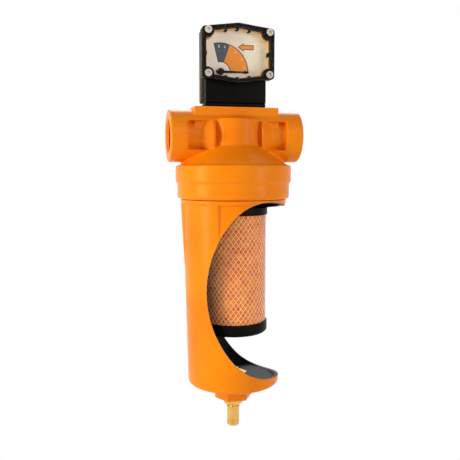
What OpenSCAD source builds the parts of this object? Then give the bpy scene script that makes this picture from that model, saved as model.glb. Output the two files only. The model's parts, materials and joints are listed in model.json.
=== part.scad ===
// In-line compressed air filter: die-cast head with two threaded ports, screw-on bowl with a
// cut-away window, drop-in filter element, differential pressure gauge and manual drain.
// The vertical axis stands at x = y = 0, the drain tip at z = 0. Inlet at -X, outlet at +X, gauge at -Y.

/* [Head] */
// Width across the two port faces
head_w = 125; // [110:1:150]
// Outer radius of the horizontal port tube
port_r = 24.3; // [22:0.1:28]
// Height of the port axis above the drain tip
port_z = 283.5; // [275:0.5:300]
// Wall radius of the threaded port (thread minor radius)
thread_r = 15.15; // [12:0.05:17]
// Length of the threaded port
thread_len = 19; // [14:1:22]
// Radius of the flow channel behind each thread
duct_r = 13; // [8:0.5:13]
// Outer radius of the inner duct seen in the side pockets
duct_wall_r = 17.5; // [17.5:0.1:19]
// Length of the plain ring at each port
end_ring = 16; // [12:1:18]
// Height of the side pockets
pocket_h = 27; // [16:1:30]
// Radius of the central body
core_r = 27; // [26:0.5:30]
// Width of the boss that carries the gauge
boss_w = 80; // [72:1:86]
// Depth of the boss that carries the gauge
boss_d = 32; // [28:1:40]
// Height of the boss face above the port axis
boss_rise = 26.5; // [26:0.5:32]

/* [Collar] */
// Radius of the upper collar ring
collar_r = 55.1; // [54:0.1:58]
// Step between the upper and the lower collar ring
collar_step = 1.7; // [0.5:0.1:2]
// Height of each collar ring
ring_h = 16; // [14:0.5:18]
// Distance from the port axis down to the collar top
collar_drop = 27; // [26:0.5:30]
// Radius of the bore that takes the bowl neck
neck_bore_r = 47; // [46:0.1:49]
// Depth of the neck bore above the collar's lower face
neck_depth = 20; // [17:0.5:22]
// Radius of the chamber above the neck bore
chamber_r = 40; // [36:0.5:42]
// Outer radius of the spigot that carries the element
spigot_r = 16; // [14:0.1:17]
// Wall of the spigot
spigot_wall = 3.5; // [2.5:0.1:4]
// Depth of the spigot below the chamber roof
spigot_len = 34; // [28:1:38]

/* [Bowl] */
// Outer radius at the foot of the bowl
foot_r = 44.1; // [42:0.1:46]
// Outer radius of the recessed panels below the lip
panel_r = 48.4; // [48:0.1:49]
// Outer radius of the ribs and the lip
rib_r = 50.4; // [50:0.1:52]
// Bowl wall
wall = 3.5; // [3:0.1:4]
// Bowl floor
floor_t = 4; // [3:0.1:6]
// Height of the bowl foot above the drain tip
foot_z = 45; // [42:0.5:50]
// Height of the lip ring
lip_h = 3.7; // [3:0.1:6]
// Length of the ribs below the lip
rib_len = 59; // [40:1:80]
// Width of a rib
rib_w = 10.4; // [7:0.1:14]
// Number of ribs
rib_count = 6; // [4:1:8]
// Turn of the rib circle about the axis
rib_turn = -4.5; // [-30:0.5:30]
// Wall of the bowl neck
neck_wall = 4.5; // [4:0.1:5]
// Rise of the bowl neck above the lip
neck_h = 18; // [15:0.5:19]
// Distance across the flats of the drain boss
boss_af = 32; // [28:1:36]
// Height of the drain boss below the foot
boss_h = 16.4; // [12:0.1:18]

/* [Cut-away] */
// Turn of the cut about the axis
cut_turn = -12.9; // [-30:0.1:30]
// Slope of the cut towards the rear
cut_tilt = 7; // [0:0.5:10]
// Distance of the oval's middle from the axis
cut_x = 38; // [34:1:44]
// Height of the oval's middle
cut_z = 140.5; // [138:0.5:143]
// Half width of the oval
cut_a = 62.4; // [56:0.2:68]
// Half height of the oval
cut_b = 82.5; // [76:0.5:83]
// Radius of the oval's ends
cut_end_r = 50; // [44:0.5:54]

/* [Element] */
// Outer radius of the mesh jacket
mesh_r = 31.4; // [28:0.1:33]
// Length of the jacket between the caps
jacket_len = 102.6; // [90:0.1:106]
// Height of the jacket's lower end
jacket_z = 107; // [100:1:112]
// Height of the lower cap
low_cap_h = 11; // [8:0.5:14]
// Radius of both caps
cap_r = 32.8; // [32.4:0.1:34]
// Number of pleats
pleats = 36; // [24:1:48]
// Travel that pulls the element off the spigot
pull_travel = 16; // [12:1:18]

/* [Gauge] */
// Width of the gauge window
gauge_w = 68; // [66:1:74]
// Height of the gauge at its sides
gauge_side_h = 46; // [44:1:50]
// Rise of the roof-shaped top and bottom
gauge_peak = 4; // [3:0.5:6]
// Depth of the clear cover
lens_d = 12; // [10:0.5:15]
// Wall of the clear cover
lens_wall = 2; // [1.6:0.1:2.4]
// Width of the gauge block
block_w = 62; // [60:1:66]
// Depth of the gauge block
block_d = 24; // [22:1:28]
// Width of the foot plate
plate_w = 57.5; // [54:0.5:60]
// Thickness of the foot plate
plate_t = 3.2; // [2.5:0.1:5]
// Height from the foot plate to the middle of the window
gauge_rise = 44; // [43:0.5:50]
// Distance between the window screws, across
screw_dx = 57.2; // [55:0.2:58]
// Distance between the window screws, up
screw_dz = 38.1; // [36:0.2:39]
// Offset of the needle pivot from the middle
pivot_x = -15; // [-17:0.5:-12]
// Drop of the needle pivot from the middle
pivot_drop = 16; // [14:0.5:17]
// Length of the needle from the pivot to the tip
needle_len = 27; // [22:0.5:30]
// Radius of the piston in the block
piston_r = 4.95; // [4:0.05:6]
// Travel of the piston
piston_travel = 6; // [4:0.5:7]

/* [Drain] */
// Radius of the drain tube
tube_r = 6; // [5:0.1:7]
// Length of the drain tube below the neck
tube_len = 17.5; // [14:0.5:20]
// Bore of the drain tube
tube_bore_r = 3; // [2:0.1:3.5]
// Radius of the drain collar
drain_collar_r = 9.25; // [9:0.1:12]
// Radius of the threaded shank
shank_r = 8; // [7:0.1:8.5]
// Lift of the valve
valve_lift = 2; // [1:0.5:3]

/* [Fits] */
// Gap between pieces that move past each other
gap = 0.3; // [0.2:0.05:0.5]
// Radial clearance of a running fit
run = 0.05; // [0.02:0.01:0.1]
// Radial clearance of a fixed piece in its seat
seat = 0.1; // [0.05:0.01:0.2]

/* [Hidden] */
$fn = 96;
eps = 0.01;
over = 1;

// Head levels
collar_top = port_z - collar_drop;
collar_bottom = collar_top - 2 * ring_h;
low_ring_r = collar_r - collar_step;
neck_roof = collar_bottom + neck_depth;
chamber_roof = collar_top + 3;
spigot_z = chamber_roof - spigot_len;
boss_top = port_z + boss_rise;
pocket_x = head_w / 2 - end_ring;
rise_r = 9.5;
rise_x = spigot_r + rise_r + 3;

// Bowl levels
lip_top = collar_bottom - gap;
lip_z = lip_top - lip_h;
neck_r = neck_bore_r - gap;
neck_top = lip_top + neck_h;
rib_z = lip_z - rib_len;
rib_foot_r = panel_r - 1.1;
foot_round = 4;
boss_z = foot_z - boss_h;
oring_t = 1.5;
groove_d = 2.6;
bowl_oring_t = (groove_d - gap) / 2;
groove_h = 2 * (bowl_oring_t + gap);
groove_z = neck_top - 4.5;

// Element levels
jacket_top = jacket_z + jacket_len;
mesh_t = 0.8;
sleeve_t = 3;
sleeve_r = mesh_r - mesh_t - seat;
pleat_out = sleeve_r - sleeve_t - seat;
core_tube_r = 18.5;
core_t = 1;
pleat_in = core_tube_r + seat;
pleat_t = 1.2;
socket_r = spigot_r + gap;
socket_top = spigot_z + 16;
cap_t = 7.4;
element_ring_r = socket_r + oring_t;

// Gauge levels
plate_z = boss_top + 0.6;
block_z = plate_z + plate_t;
gauge_z = block_z + gauge_rise;
block_h = gauge_rise + gauge_side_h / 2 + 0.5;
block_front = -block_d / 2;
lens_front = block_front - lens_d;
pivot_z = gauge_z - pivot_drop;
bezel_gap = 0.3;
dial_t = 0.8;
frame_w = 2;
scallop_r = 6;
bezel_d = lens_d - lens_wall - bezel_gap;
lens_corner = 3;
screw_head_r = 3.3;
screw_head_t = 2.2;
screw_r = 1.6;
screw_grip = 8;
axle_r = 1;
bore_x = pivot_x;
bore_r = piston_r + run;
plug_h = 6;
plug_r = 6;
piston_len = 13;
piston_z = block_z + plug_h + 8;
magnet_t = 4;
spring_gap = 0.3;
spring_z = piston_z + piston_len + magnet_t + spring_gap;
bore_top = spring_z + 16;
spring_wire = 0.8;
spring_turns = 6;
stud_x = 25;
stud_r = 3;
stud_len = 24;
stud_bore = 1.2;
gasket_t = plate_z - boss_top;

// Drain levels
pin_foot_t = 1;
neck_len = 4.5;
drain_collar_h = 5.5;
drain_collar_z = tube_len + neck_len;
shank_top = foot_z + floor_t + 5.5;
stem_bore_r = 4.55;
stem_top = drain_collar_z + 10;
valve_bore_r = 2.5;
nut_h = 4.3;
valve_z = shank_top + gap;
seal_t = 0.8;
vent_w = 1.6;

// A ring with a rectangular section
module ring(r_out, r_in, z, h) {
    translate([0, 0, z])
        difference() {
            cylinder(h = h, r = r_out);
            translate([0, 0, -over]) cylinder(h = h + 2 * over, r = r_in);
        }
}

// A cylinder along X, from x to x + len at the height of the port axis
module along_x(x, len, r) {
    translate([x, 0, port_z]) rotate([0, 90, 0]) cylinder(h = len, r = r);
}

// A cylinder along Y with its front end at y
module along_y(x, y, z, len, r) {
    translate([x, y, z]) rotate([-90, 0, 0]) cylinder(h = len, r = r);
}

// Outer shape of the collar with its two rings, turned about the axis
module collar_shape() {
    top_round = 2;
    low_round = 3;
    rotate_extrude()
        difference() {
            union() {
                translate([0, collar_bottom + low_round]) square([low_ring_r, ring_h]);
                translate([0, collar_bottom]) square([low_ring_r - low_round, ring_h]);
                translate([low_ring_r - low_round, collar_bottom + low_round]) circle(r = low_round);
                translate([0, collar_bottom + ring_h]) square([collar_r, ring_h - top_round]);
                translate([0, collar_bottom + ring_h]) square([collar_r - top_round, ring_h]);
                translate([collar_r - top_round, collar_top - top_round]) circle(r = top_round);
            }
            translate([-collar_r, 0]) square([collar_r, 2 * port_z]);
        }
}

// Central body with its flare down to the collar
module core_shape() {
    flare_r = collar_r - 5;
    flare_z = collar_top + 1;
    waist_z = port_z - 9;
    rotate_extrude()
        polygon([
            [0, collar_top - 2], [flare_r, collar_top - 2], [flare_r, flare_z],
            [core_r, waist_z], [core_r, port_z + pocket_h / 2 + 2], [0, port_z + port_r - 1]
        ]);
}

// Pocket in the port tube, with the inner duct and its shoulder left standing
module side_pocket() {
    shoulder_x = core_r - 5;
    shoulder_len = 12;
    difference() {
        translate([core_r - 12, -port_r - over, port_z - pocket_h / 2])
            cube([pocket_x - core_r + 12, 2 * (port_r + over), pocket_h]);
        along_x(0, pocket_x + over, duct_wall_r);
        translate([shoulder_x, 0, port_z]) rotate([0, 90, 0])
            cylinder(h = shoulder_len, r1 = port_r + 1, r2 = duct_wall_r - eps);
        core_shape();
    }
}

module head() {
    color("orange")
    difference() {
        union() {
            difference() {
                along_x(-head_w / 2, head_w, port_r);
                side_pocket();
                mirror([1, 0, 0]) side_pocket();
            }
            core_shape();
            difference() {
                collar_shape();
                ring_cavity();
            }
            translate([-boss_w / 2, -boss_d / 2, port_z])
                cube([boss_w, boss_d, boss_rise]);
            translate([0, 0, spigot_z]) cylinder(h = spigot_len + eps, r = spigot_r);
        }
        difference() {
            chamber_cut();
            translate([0, 0, spigot_z]) cylinder(h = spigot_len + over, r = spigot_r);
        }
        flow_cuts();
        stud_holes(stud_r);
        along_x(-head_w / 2 - over, 2 * over, thread_r + 1);
        along_x(head_w / 2 - over, 2 * over, thread_r + 1);
    }
}

// Space inside the collar rings
module ring_cavity() {
    translate([0, 0, collar_bottom - over]) cylinder(h = neck_depth + over, r = neck_bore_r);
}

// Neck bore and the flow chamber above it
module chamber_cut() {
    ring_cavity();
    translate([0, 0, neck_roof - eps]) cylinder(h = chamber_roof - neck_roof + eps, r = chamber_r);
}

// Threads, flow channels, the elbow into the spigot and the rise to the outlet
module flow_cuts() {
    along_x(-head_w / 2 - over, thread_len + over, thread_r);
    along_x(head_w / 2 - thread_len, thread_len + over, thread_r);
    along_x(-head_w / 2, head_w / 2, duct_r);
    along_x(rise_x - rise_r + 1, head_w / 2 - rise_x, duct_r);
    translate([0, 0, spigot_z - over])
        cylinder(h = port_z - spigot_z + over, r = spigot_r - spigot_wall);
    translate([rise_x, 0, chamber_roof - over]) cylinder(h = port_z - chamber_roof, r = rise_r);
}

// Blind holes for the two hollow studs
module stud_holes(r) {
    for (x = [-stud_x, stud_x])
        translate([x, 0, boss_top - stud_len / 2 + plate_t - seat])
            cylinder(h = stud_len, r = r + seat);
}

// Bowl section: the wall from foot to lip
function inner_r(z) = foot_r - wall + (panel_r - foot_r) * (z - foot_z) / (lip_z - foot_z);

module bowl_outside() {
    rotate_extrude()
        union() {
            polygon([
                [0, foot_z + foot_round], [foot_r, foot_z + foot_round], [panel_r, lip_z + eps],
                [0, lip_z + eps]
            ]);
            translate([0, foot_z]) square([foot_r - foot_round, foot_round + eps]);
            intersection() {
                translate([foot_r - foot_round, foot_z + foot_round]) circle(r = foot_round);
                translate([0, foot_z]) square([foot_r, foot_round + 1]);
            }
            translate([0, lip_z]) square([rib_r, lip_h]);
            translate([0, lip_z]) square([neck_r, neck_h + lip_h]);
        }
}

module bowl_inside() {
    rotate_extrude()
        union() {
            polygon([
                [0, foot_z + floor_t], [inner_r(foot_z + floor_t) - foot_round, foot_z + floor_t],
                [inner_r(foot_z + floor_t), foot_z + floor_t + foot_round],
                [inner_r(lip_z), lip_z], [neck_r - neck_wall, lip_z + lip_h],
                [neck_r - neck_wall, neck_top + over], [0, neck_top + over]
            ]);
        }
}

// Ribs between the recessed panels
module bowl_ribs() {
    intersection() {
        translate([0, 0, rib_z]) cylinder(h = rib_len, r1 = rib_foot_r, r2 = rib_r);
        for (i = [0 : rib_count - 1])
            rotate([0, 0, rib_turn + i * 360 / rib_count])
                translate([foot_r - wall / 2, -rib_w / 2, rib_z - over])
                    cube([rib_r, rib_w, rib_len + 2 * over]);
    }
}

// Outline of the cut: an oval of three arcs that meet smoothly, run out to the right at full height
module cut_outline() {
    reach = 80;
    end_z = cut_b - cut_end_r;
    side_r = (cut_a * cut_a + end_z * end_z - cut_end_r * cut_end_r) / (2 * (cut_a - cut_end_r));
    side_x = side_r - cut_a;
    intersection() {
        translate([side_x, 0]) circle(r = side_r);
        polygon([[side_x, 0], [side_x - 2 * side_x, -2 * end_z], [-side_r, -2 * end_z],
            [-side_r, 2 * end_z], [side_x - 2 * side_x, 2 * end_z]]);
    }
    for (z = [-end_z, end_z])
        translate([0, z]) circle(r = cut_end_r);
    translate([0, -cut_b]) square([reach, 2 * cut_b]);
    polygon([[0, -end_z], [side_x, 0], [0, end_z]]);
}

module cutter() {
    reach = 60;
    rotate([0, 0, cut_turn])
        translate([cut_x, -foot_r, cut_z])
            rotate([90 - cut_tilt, 0, 0])
                translate([0, 0, -2 * reach])
                    linear_extrude(height = 3 * reach) cut_outline();
}

module bowl() {
    color("orange")
    difference() {
        union() {
            bowl_outside();
            bowl_ribs();
            translate([0, 0, boss_z])
                cylinder(h = boss_h + foot_round, r = boss_af / 2 / cos(30), $fn = 6);
        }
        bowl_inside();
        cutter();
        ring(neck_r + over, neck_r - groove_d, groove_z - groove_h / 2, groove_h);
        translate([0, 0, boss_z - over]) cylinder(h = boss_h + floor_t + 2 * over, r = shank_r + seat);
    }
}

// O-ring of a given middle radius
module oring(r, z, t) {
    rotate_extrude() translate([r, z]) circle(r = t);
}

module bowl_oring() {
    color("dimgray") oring(neck_r - bowl_oring_t, groove_z, bowl_oring_t);
}

module element_top_cap() {
    socket_wall = 4.5;
    color([0.1, 0.1, 0.1])
    difference() {
        union() {
            translate([0, 0, jacket_top]) cylinder(h = cap_t, r = cap_r);
            translate([0, 0, jacket_top])
                cylinder(h = socket_top - jacket_top, r = socket_r + socket_wall);
        }
        translate([0, 0, jacket_top - over])
            cylinder(h = socket_top - jacket_top + 2 * over, r = socket_r);
        ring(element_ring_r + oring_t, 1, socket_top - 7, 2 * oring_t);
    }
}

module element_bottom_cap() {
    color([0.1, 0.1, 0.1])
    translate([0, 0, jacket_z - low_cap_h])
        rotate_extrude()
            polygon([
                [0, 0], [cap_r - 2, 0], [cap_r, 2], [cap_r, low_cap_h], [0, low_cap_h]
            ]);
}

module element_mesh() {
    color("silver") ring(mesh_r, mesh_r - mesh_t, jacket_z, jacket_len);
}

module element_sleeve() {
    color("orangered") ring(sleeve_r, sleeve_r - sleeve_t, jacket_z, jacket_len);
}

// Star-shaped outline with one point per pleat
function star(r_in, r_out) = [for (i = [0 : 2 * pleats - 1])
    let (a = i * 180 / pleats, r = i % 2 == 0 ? r_out : r_in) [r * cos(a), r * sin(a)]];

module element_pleats() {
    color("ivory")
    translate([0, 0, jacket_z])
        linear_extrude(height = jacket_len)
            difference() {
                polygon(star(pleat_in + pleat_t, pleat_out));
                polygon(star(pleat_in, pleat_out - 2 * pleat_t));
            }
}

module element_core() {
    color("gainsboro") ring(core_tube_r, core_tube_r - core_t, jacket_z, jacket_len);
}

module element_oring() {
    color("dimgray") oring(element_ring_r, socket_top - 7 + oring_t, oring_t - seat / 2);
}

// Roof-ended outline of the gauge window, shrunk by an inset
module window_outline(inset, corner) {
    half_w = gauge_w / 2 - inset - corner;
    half_h = gauge_side_h / 2 - inset - corner;
    peak = half_h + gauge_peak;
    hull()
        for (p = [[-half_w, -half_h], [0, -peak], [half_w, -half_h],
                  [half_w, half_h], [0, peak], [-half_w, half_h]])
            translate(p) circle(r = corner, $fn = 32);
}

// Places a flat outline on a plane at y and gives it a thickness towards the rear
module upright(y, t) {
    translate([0, y + t, gauge_z]) rotate([90, 0, 0]) linear_extrude(height = t) children();
}

module gauge_plate() {
    color([0.12, 0.12, 0.12])
    difference() {
        translate([-plate_w / 2, -block_d / 2 + 1, plate_z]) cube([plate_w, block_d - 2, plate_t]);
        stud_holes(stud_r);
    }
}

module gauge_gasket() {
    color([0.2, 0.2, 0.2])
    difference() {
        translate([-plate_w / 2 + 1, -block_d / 2 + 2, boss_top])
            cube([plate_w - 2, block_d - 4, gasket_t]);
        stud_holes(stud_r + oring_t);
    }
}

module gauge_block() {
    back_t = 1.5;
    color([0.08, 0.08, 0.08])
    difference() {
        translate([-block_w / 2, block_front, block_z])
            cube([block_w, block_d - back_t, block_h]);
        translate([bore_x, 0, block_z - over]) cylinder(h = bore_top - block_z + over, r = bore_r);
        translate([bore_x, 0, block_z - over]) cylinder(h = plug_h + over, r = plug_r);
        stud_holes(stud_r);
        for (p = screw_points())
            along_y(p[0], block_front - over, p[1], screw_grip + over, screw_r + seat);
        for (p = cover_points())
            along_y(p[0], block_d / 2 - back_t - screw_grip, p[1], screw_grip + over, screw_r);
        along_y(pivot_x, block_front - over, pivot_z, 3 + over, axle_r + seat / 2);
    }
}

function screw_points() = [for (x = [-1, 1], z = [1, -1])
    [x * screw_dx / 2, gauge_z + z * screw_dz / 2]];
function cover_points() = [for (x = [-1, 1], z = [-1, 1])
    [x * (block_w / 2 - 4), block_z + block_h / 2 + z * (block_h / 2 - 5)]];

module gauge_back_cover() {
    back_t = 1.5;
    color([0.15, 0.15, 0.15])
    difference() {
        translate([-block_w / 2 + 1, block_d / 2 - back_t, block_z + 1])
            cube([block_w - 2, back_t, block_h - 2]);
        for (p = cover_points())
            along_y(p[0], 0, p[1], block_d, screw_r + seat);
    }
}

module cover_screws() {
    head_t = 1.6;
    color("silver")
    for (p = cover_points()) {
        along_y(p[0], block_d / 2 - screw_grip, p[1], screw_grip + eps, screw_r - seat);
        along_y(p[0], block_d / 2, p[1], head_t, 2.8);
    }
}

// Black frame behind the clear cover, with a window scalloped round the screws
module gauge_bezel() {
    color([0.05, 0.05, 0.05])
    difference() {
        upright(block_front - bezel_d, bezel_d)
            difference() {
                window_outline(lens_wall + bezel_gap, 2);
                difference() {
                    window_outline(lens_wall + frame_w, 1.5);
                    for (x = [-1, 1], z = [-1, 1])
                        translate([x * screw_dx / 2, z * screw_dz / 2]) circle(r = scallop_r);
                }
            }
        for (p = screw_points())
            along_y(p[0], lens_front, p[1], lens_d + over, screw_r + seat);
    }
}

module gauge_lens() {
    color("lightblue", 0.35)
    difference() {
        upright(lens_front, lens_d) window_outline(0, lens_corner);
        upright(lens_front + lens_wall, lens_d) window_outline(lens_wall, 2);
        for (p = screw_points()) {
            along_y(p[0], lens_front - over, p[1], lens_d, screw_r + seat);
            along_y(p[0], lens_front - over, p[1], over + 0.8, screw_head_r + seat);
        }
    }
}

module lens_screw(p) {
    socket_af = 2.5;
    head_y = lens_front + 0.8 - screw_head_t;
    color("silver")
    difference() {
        union() {
            along_y(p[0], head_y, p[1], screw_head_t, screw_head_r);
            along_y(p[0], head_y, p[1], lens_d + screw_grip + 0.6, screw_r);
        }
        translate([p[0], head_y - over, p[1]]) rotate([-90, 0, 0])
            cylinder(h = 1.3 + over, r = socket_af / 2 / cos(30), $fn = 6);
    }
}

module lens_screw_nw() { lens_screw(screw_points()[0]); }
module lens_screw_sw() { lens_screw(screw_points()[1]); }
module lens_screw_ne() { lens_screw(screw_points()[2]); }
module lens_screw_se() { lens_screw(screw_points()[3]); }

module dial_plate() {
    color("lightgray")
    difference() {
        upright(block_front - dial_t, dial_t)
            difference() {
                window_outline(lens_wall + frame_w + seat, 1.5);
                for (x = [-1, 1], z = [-1, 1])
                    translate([x * screw_dx / 2, z * screw_dz / 2]) circle(r = scallop_r + seat);
            }
        along_y(pivot_x, block_front - lens_d, pivot_z, lens_d + over, axle_r + seat / 2);
    }
}

module needle_axle() {
    color("silver") {
        along_y(pivot_x, block_front - 5.5, pivot_z, 8, axle_r);
        along_y(pivot_x, block_front - 6, pivot_z, 0.6, 1.8);
    }
}

// Needle with a round hub, a tapered blade and a small paddle near its tip
module needle() {
    hub_r = 3.1;
    hub_t = 2.6;
    blade_t = 0.8;
    tail = 4.3;
    color("black")
    translate([pivot_x, block_front - dial_t - gap - hub_t, pivot_z])
        rotate([-90, 0, 0])
            difference() {
                union() {
                    cylinder(h = hub_t, r = hub_r);
                    translate([0, 0, hub_t - blade_t])
                        linear_extrude(height = blade_t)
                            polygon([
                                [-tail, -1.1], [0, -1.2], [needle_len - 6, -0.55],
                                [needle_len - 5, -1.2], [needle_len - 2.5, -1.2],
                                [needle_len, 0], [needle_len - 2.5, 1.2],
                                [needle_len - 5, 1.2], [needle_len - 6, 0.55], [0, 1.2], [-tail, 1.1]
                            ]);
                }
                translate([0, 0, -over]) cylinder(h = hub_t + 2 * over, r = axle_r + run);
            }
}

module dp_piston() {
    color("gainsboro") translate([bore_x, 0, piston_z]) cylinder(h = piston_len, r = piston_r);
}

module dp_magnet() {
    color("darkgray")
    translate([bore_x, 0, piston_z + piston_len]) cylinder(h = magnet_t, r = piston_r - 0.5);
}

// Coil spring between the magnet and the roof of the bore, swept along its helix
module dp_spring() {
    sides = 8;
    per_turn = 12;
    coil_r = piston_r - 1.2;
    wire_r = spring_wire / 2;
    span = bore_top - spring_gap - spring_z - spring_wire;
    rings = spring_turns * per_turn;
    points = [for (i = [0 : rings], j = [0 : sides - 1])
        let (a = 360 * i / per_turn, b = 360 * j / sides, r = coil_r + wire_r * cos(b))
        [r * cos(a), r * sin(a), wire_r + span * i / rings + wire_r * sin(b)]];
    skin = [for (i = [0 : rings - 1], j = [0 : sides - 1])
        let (k = (j + 1) % sides)
        [i * sides + j, (i + 1) * sides + j, (i + 1) * sides + k, i * sides + k]];
    first = [for (j = [0 : sides - 1]) j];
    last = [for (j = [sides - 1 : -1 : 0]) rings * sides + j];
    color("silver")
    translate([bore_x, 0, spring_z]) polyhedron(points = points, faces = concat(skin, [first, last]));
}

module dp_plug() {
    color("goldenrod")
    translate([bore_x, 0, block_z]) cylinder(h = plug_h, r = plug_r - seat);
}

// Hollow stud that clamps the block and carries the pressure signal
module gauge_stud(x) {
    bottom = boss_top - stud_len / 2 + plate_t;
    color("silver")
    difference() {
        translate([x, 0, bottom]) cylinder(h = stud_len - 2 * seat, r = stud_r);
        translate([x, 0, bottom - over]) cylinder(h = stud_len + 2 * over, r = stud_bore);
    }
}

module gauge_stud_in() { gauge_stud(-stud_x); }
module gauge_stud_out() { gauge_stud(stud_x); }

module stud_orings() {
    ring_t = gasket_t / 2;
    color("dimgray")
    for (x = [-stud_x, stud_x])
        translate([x, 0, 0]) oring(stud_r + seat + ring_t, boss_top + ring_t, ring_t - 0.02);
}

module drain_body() {
    chamfer = 0.8;
    color("goldenrod")
    difference() {
        rotate_extrude()
            polygon([
                [0, drain_collar_z], [drain_collar_r - chamfer, drain_collar_z],
                [drain_collar_r, drain_collar_z + chamfer],
                [drain_collar_r, drain_collar_z + drain_collar_h],
                [shank_r, drain_collar_z + drain_collar_h], [shank_r, shank_top], [0, shank_top]
            ]);
        translate([0, 0, drain_collar_z - over])
            cylinder(h = stem_top + pin_foot_t + valve_lift + gap - drain_collar_z + over, r = stem_bore_r);
        cylinder(h = shank_top + over, r = valve_bore_r);
    }
}

module drain_gasket() {
    z = drain_collar_z + drain_collar_h;
    color([0.15, 0.15, 0.15]) ring(shank_r + 2, shank_r + seat, z, boss_z - z);
}

module drain_nut() {
    color("goldenrod")
    difference() {
        translate([0, 0, foot_z + floor_t])
            cylinder(h = nut_h, r = (shank_r + 4) / cos(30), $fn = 6);
        cylinder(h = shank_top + over, r = shank_r + seat);
    }
}

module drain_stem() {
    chamfer = 1;
    rim = 0.3;
    shoulder_z = drain_collar_z - valve_lift - gap;
    color("goldenrod")
    difference() {
        rotate_extrude()
            polygon([
                [0, 0], [tube_r - chamfer, 0], [tube_r, chamfer], [tube_r, tube_len],
                [tube_r + rim, tube_len + rim], [tube_r + rim, shoulder_z],
                [stem_bore_r - run, shoulder_z], [stem_bore_r - run, stem_top], [0, stem_top]
            ]);
        translate([0, 0, -over]) cylinder(h = stem_top + 2 * over, r = tube_bore_r);
        ring(stem_bore_r + over, stem_bore_r - 1.1, stem_top - 4, 2);
    }
}

module stem_oring() {
    color("dimgray") oring(stem_bore_r - 0.6, stem_top - 3, 0.45);
}

// Poppet on a thin rod that the stem pushes up off its seat
module valve_pin() {
    rod_r = 1.5;
    pin_foot_r = tube_bore_r + 1;
    head_t = 2;
    head_r = 5;
    color("goldenrod")
    difference() {
        union() {
            translate([0, 0, stem_top]) cylinder(h = pin_foot_t, r = pin_foot_r);
            translate([0, 0, stem_top]) cylinder(h = valve_z - stem_top + seal_t + eps, r = rod_r);
            translate([0, 0, valve_z + seal_t]) cylinder(h = head_t, r = head_r);
        }
        translate([-pin_foot_r, -vent_w / 2, stem_top - over])
            cube([2 * pin_foot_r, vent_w, over + pin_foot_t / 2]);
    }
}

module valve_seal() {
    color([0.15, 0.15, 0.15]) ring(4.6, 1.55, valve_z, seal_t);
}

head();
bowl();
bowl_oring();
element_top_cap();
element_bottom_cap();
element_mesh();
element_sleeve();
element_pleats();
element_core();
element_oring();
gauge_plate();
gauge_gasket();
gauge_block();
gauge_back_cover();
gauge_bezel();
gauge_lens();
dial_plate();
needle_axle();
needle();
lens_screw_nw();
lens_screw_ne();
lens_screw_sw();
lens_screw_se();
cover_screws();
dp_piston();
dp_magnet();
dp_spring();
dp_plug();
gauge_stud_in();
gauge_stud_out();
stud_orings();
drain_body();
drain_gasket();
drain_nut();
drain_stem();
stem_oring();
valve_pin();
valve_seal();
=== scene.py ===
"""Compressed air filter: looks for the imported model, laid out as a Blender add-on and run as a script."""

import json
import math

import bmesh
import bpy
from mathutils import Matrix, Vector


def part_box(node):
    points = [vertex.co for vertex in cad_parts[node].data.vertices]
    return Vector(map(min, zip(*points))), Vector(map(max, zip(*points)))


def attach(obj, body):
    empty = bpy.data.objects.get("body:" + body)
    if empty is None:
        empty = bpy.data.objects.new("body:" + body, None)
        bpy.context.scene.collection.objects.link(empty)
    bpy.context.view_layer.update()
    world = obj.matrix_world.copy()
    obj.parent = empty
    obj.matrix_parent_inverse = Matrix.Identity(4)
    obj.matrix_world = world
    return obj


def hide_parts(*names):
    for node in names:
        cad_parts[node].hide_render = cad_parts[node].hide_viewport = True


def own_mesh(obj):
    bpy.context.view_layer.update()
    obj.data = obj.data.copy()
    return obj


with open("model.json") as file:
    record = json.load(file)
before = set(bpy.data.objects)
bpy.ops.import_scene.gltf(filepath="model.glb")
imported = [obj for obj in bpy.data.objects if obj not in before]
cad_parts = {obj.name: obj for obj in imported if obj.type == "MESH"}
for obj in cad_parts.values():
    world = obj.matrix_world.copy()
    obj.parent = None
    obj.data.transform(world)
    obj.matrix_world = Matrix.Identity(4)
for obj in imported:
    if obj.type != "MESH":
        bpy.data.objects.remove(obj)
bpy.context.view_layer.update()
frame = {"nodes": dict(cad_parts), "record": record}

bl_info = {
    "name": "Compressed Air Filter",
    "version": (1, 0, 0),
    "blender": (4, 5, 0),
    "location": "3D View > Sidebar > Air Filter",
    "description": "Builds the visible pieces of an in-line compressed air filter",
    "category": "Object",
}

MM = 0.001
TAU = 2 * math.pi
QUARTER = TAU / 4
MOUNTS = {m["name"]: m for m in frame["record"]["mounts"]}
PORT_Z = MOUNTS["inlet_port"]["pos_m"][2]
THREAD_R = MOUNTS["inlet_port"]["dims"]["r_mm"] * MM
THREAD_LEN = MOUNTS["inlet_port"]["dims"]["length_mm"] * MM
THREAD_RUN_OUT = 2 * MM
RIDGE_SHARE = 0.3


# ---------------------------------------------------------------- helpers: colours, nodes, objects


def linear(text):
    """An sRGB hex colour as linear RGBA."""
    parts = [int(text[i : i + 2], 16) / 255 for i in (1, 3, 5)]
    return [c / 12.92 if c <= 0.04045 else ((c + 0.055) / 1.055) ** 2.4 for c in parts] + [1.0]


def fill(tree, node, values):
    """Sets or links a node's inputs."""
    for key, value in values.items():
        socket = node.inputs[key]
        if isinstance(value, bpy.types.NodeSocket):
            tree.links.new(value, socket)
        else:
            socket.default_value = value


def put(tree, kind, values=None, **settings):
    """Adds a node, sets its properties, and sets or links its inputs."""
    node = tree.nodes.new(kind)
    for name, value in settings.items():
        setattr(node, name, value)
    fill(tree, node, values or {})
    return node


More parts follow.
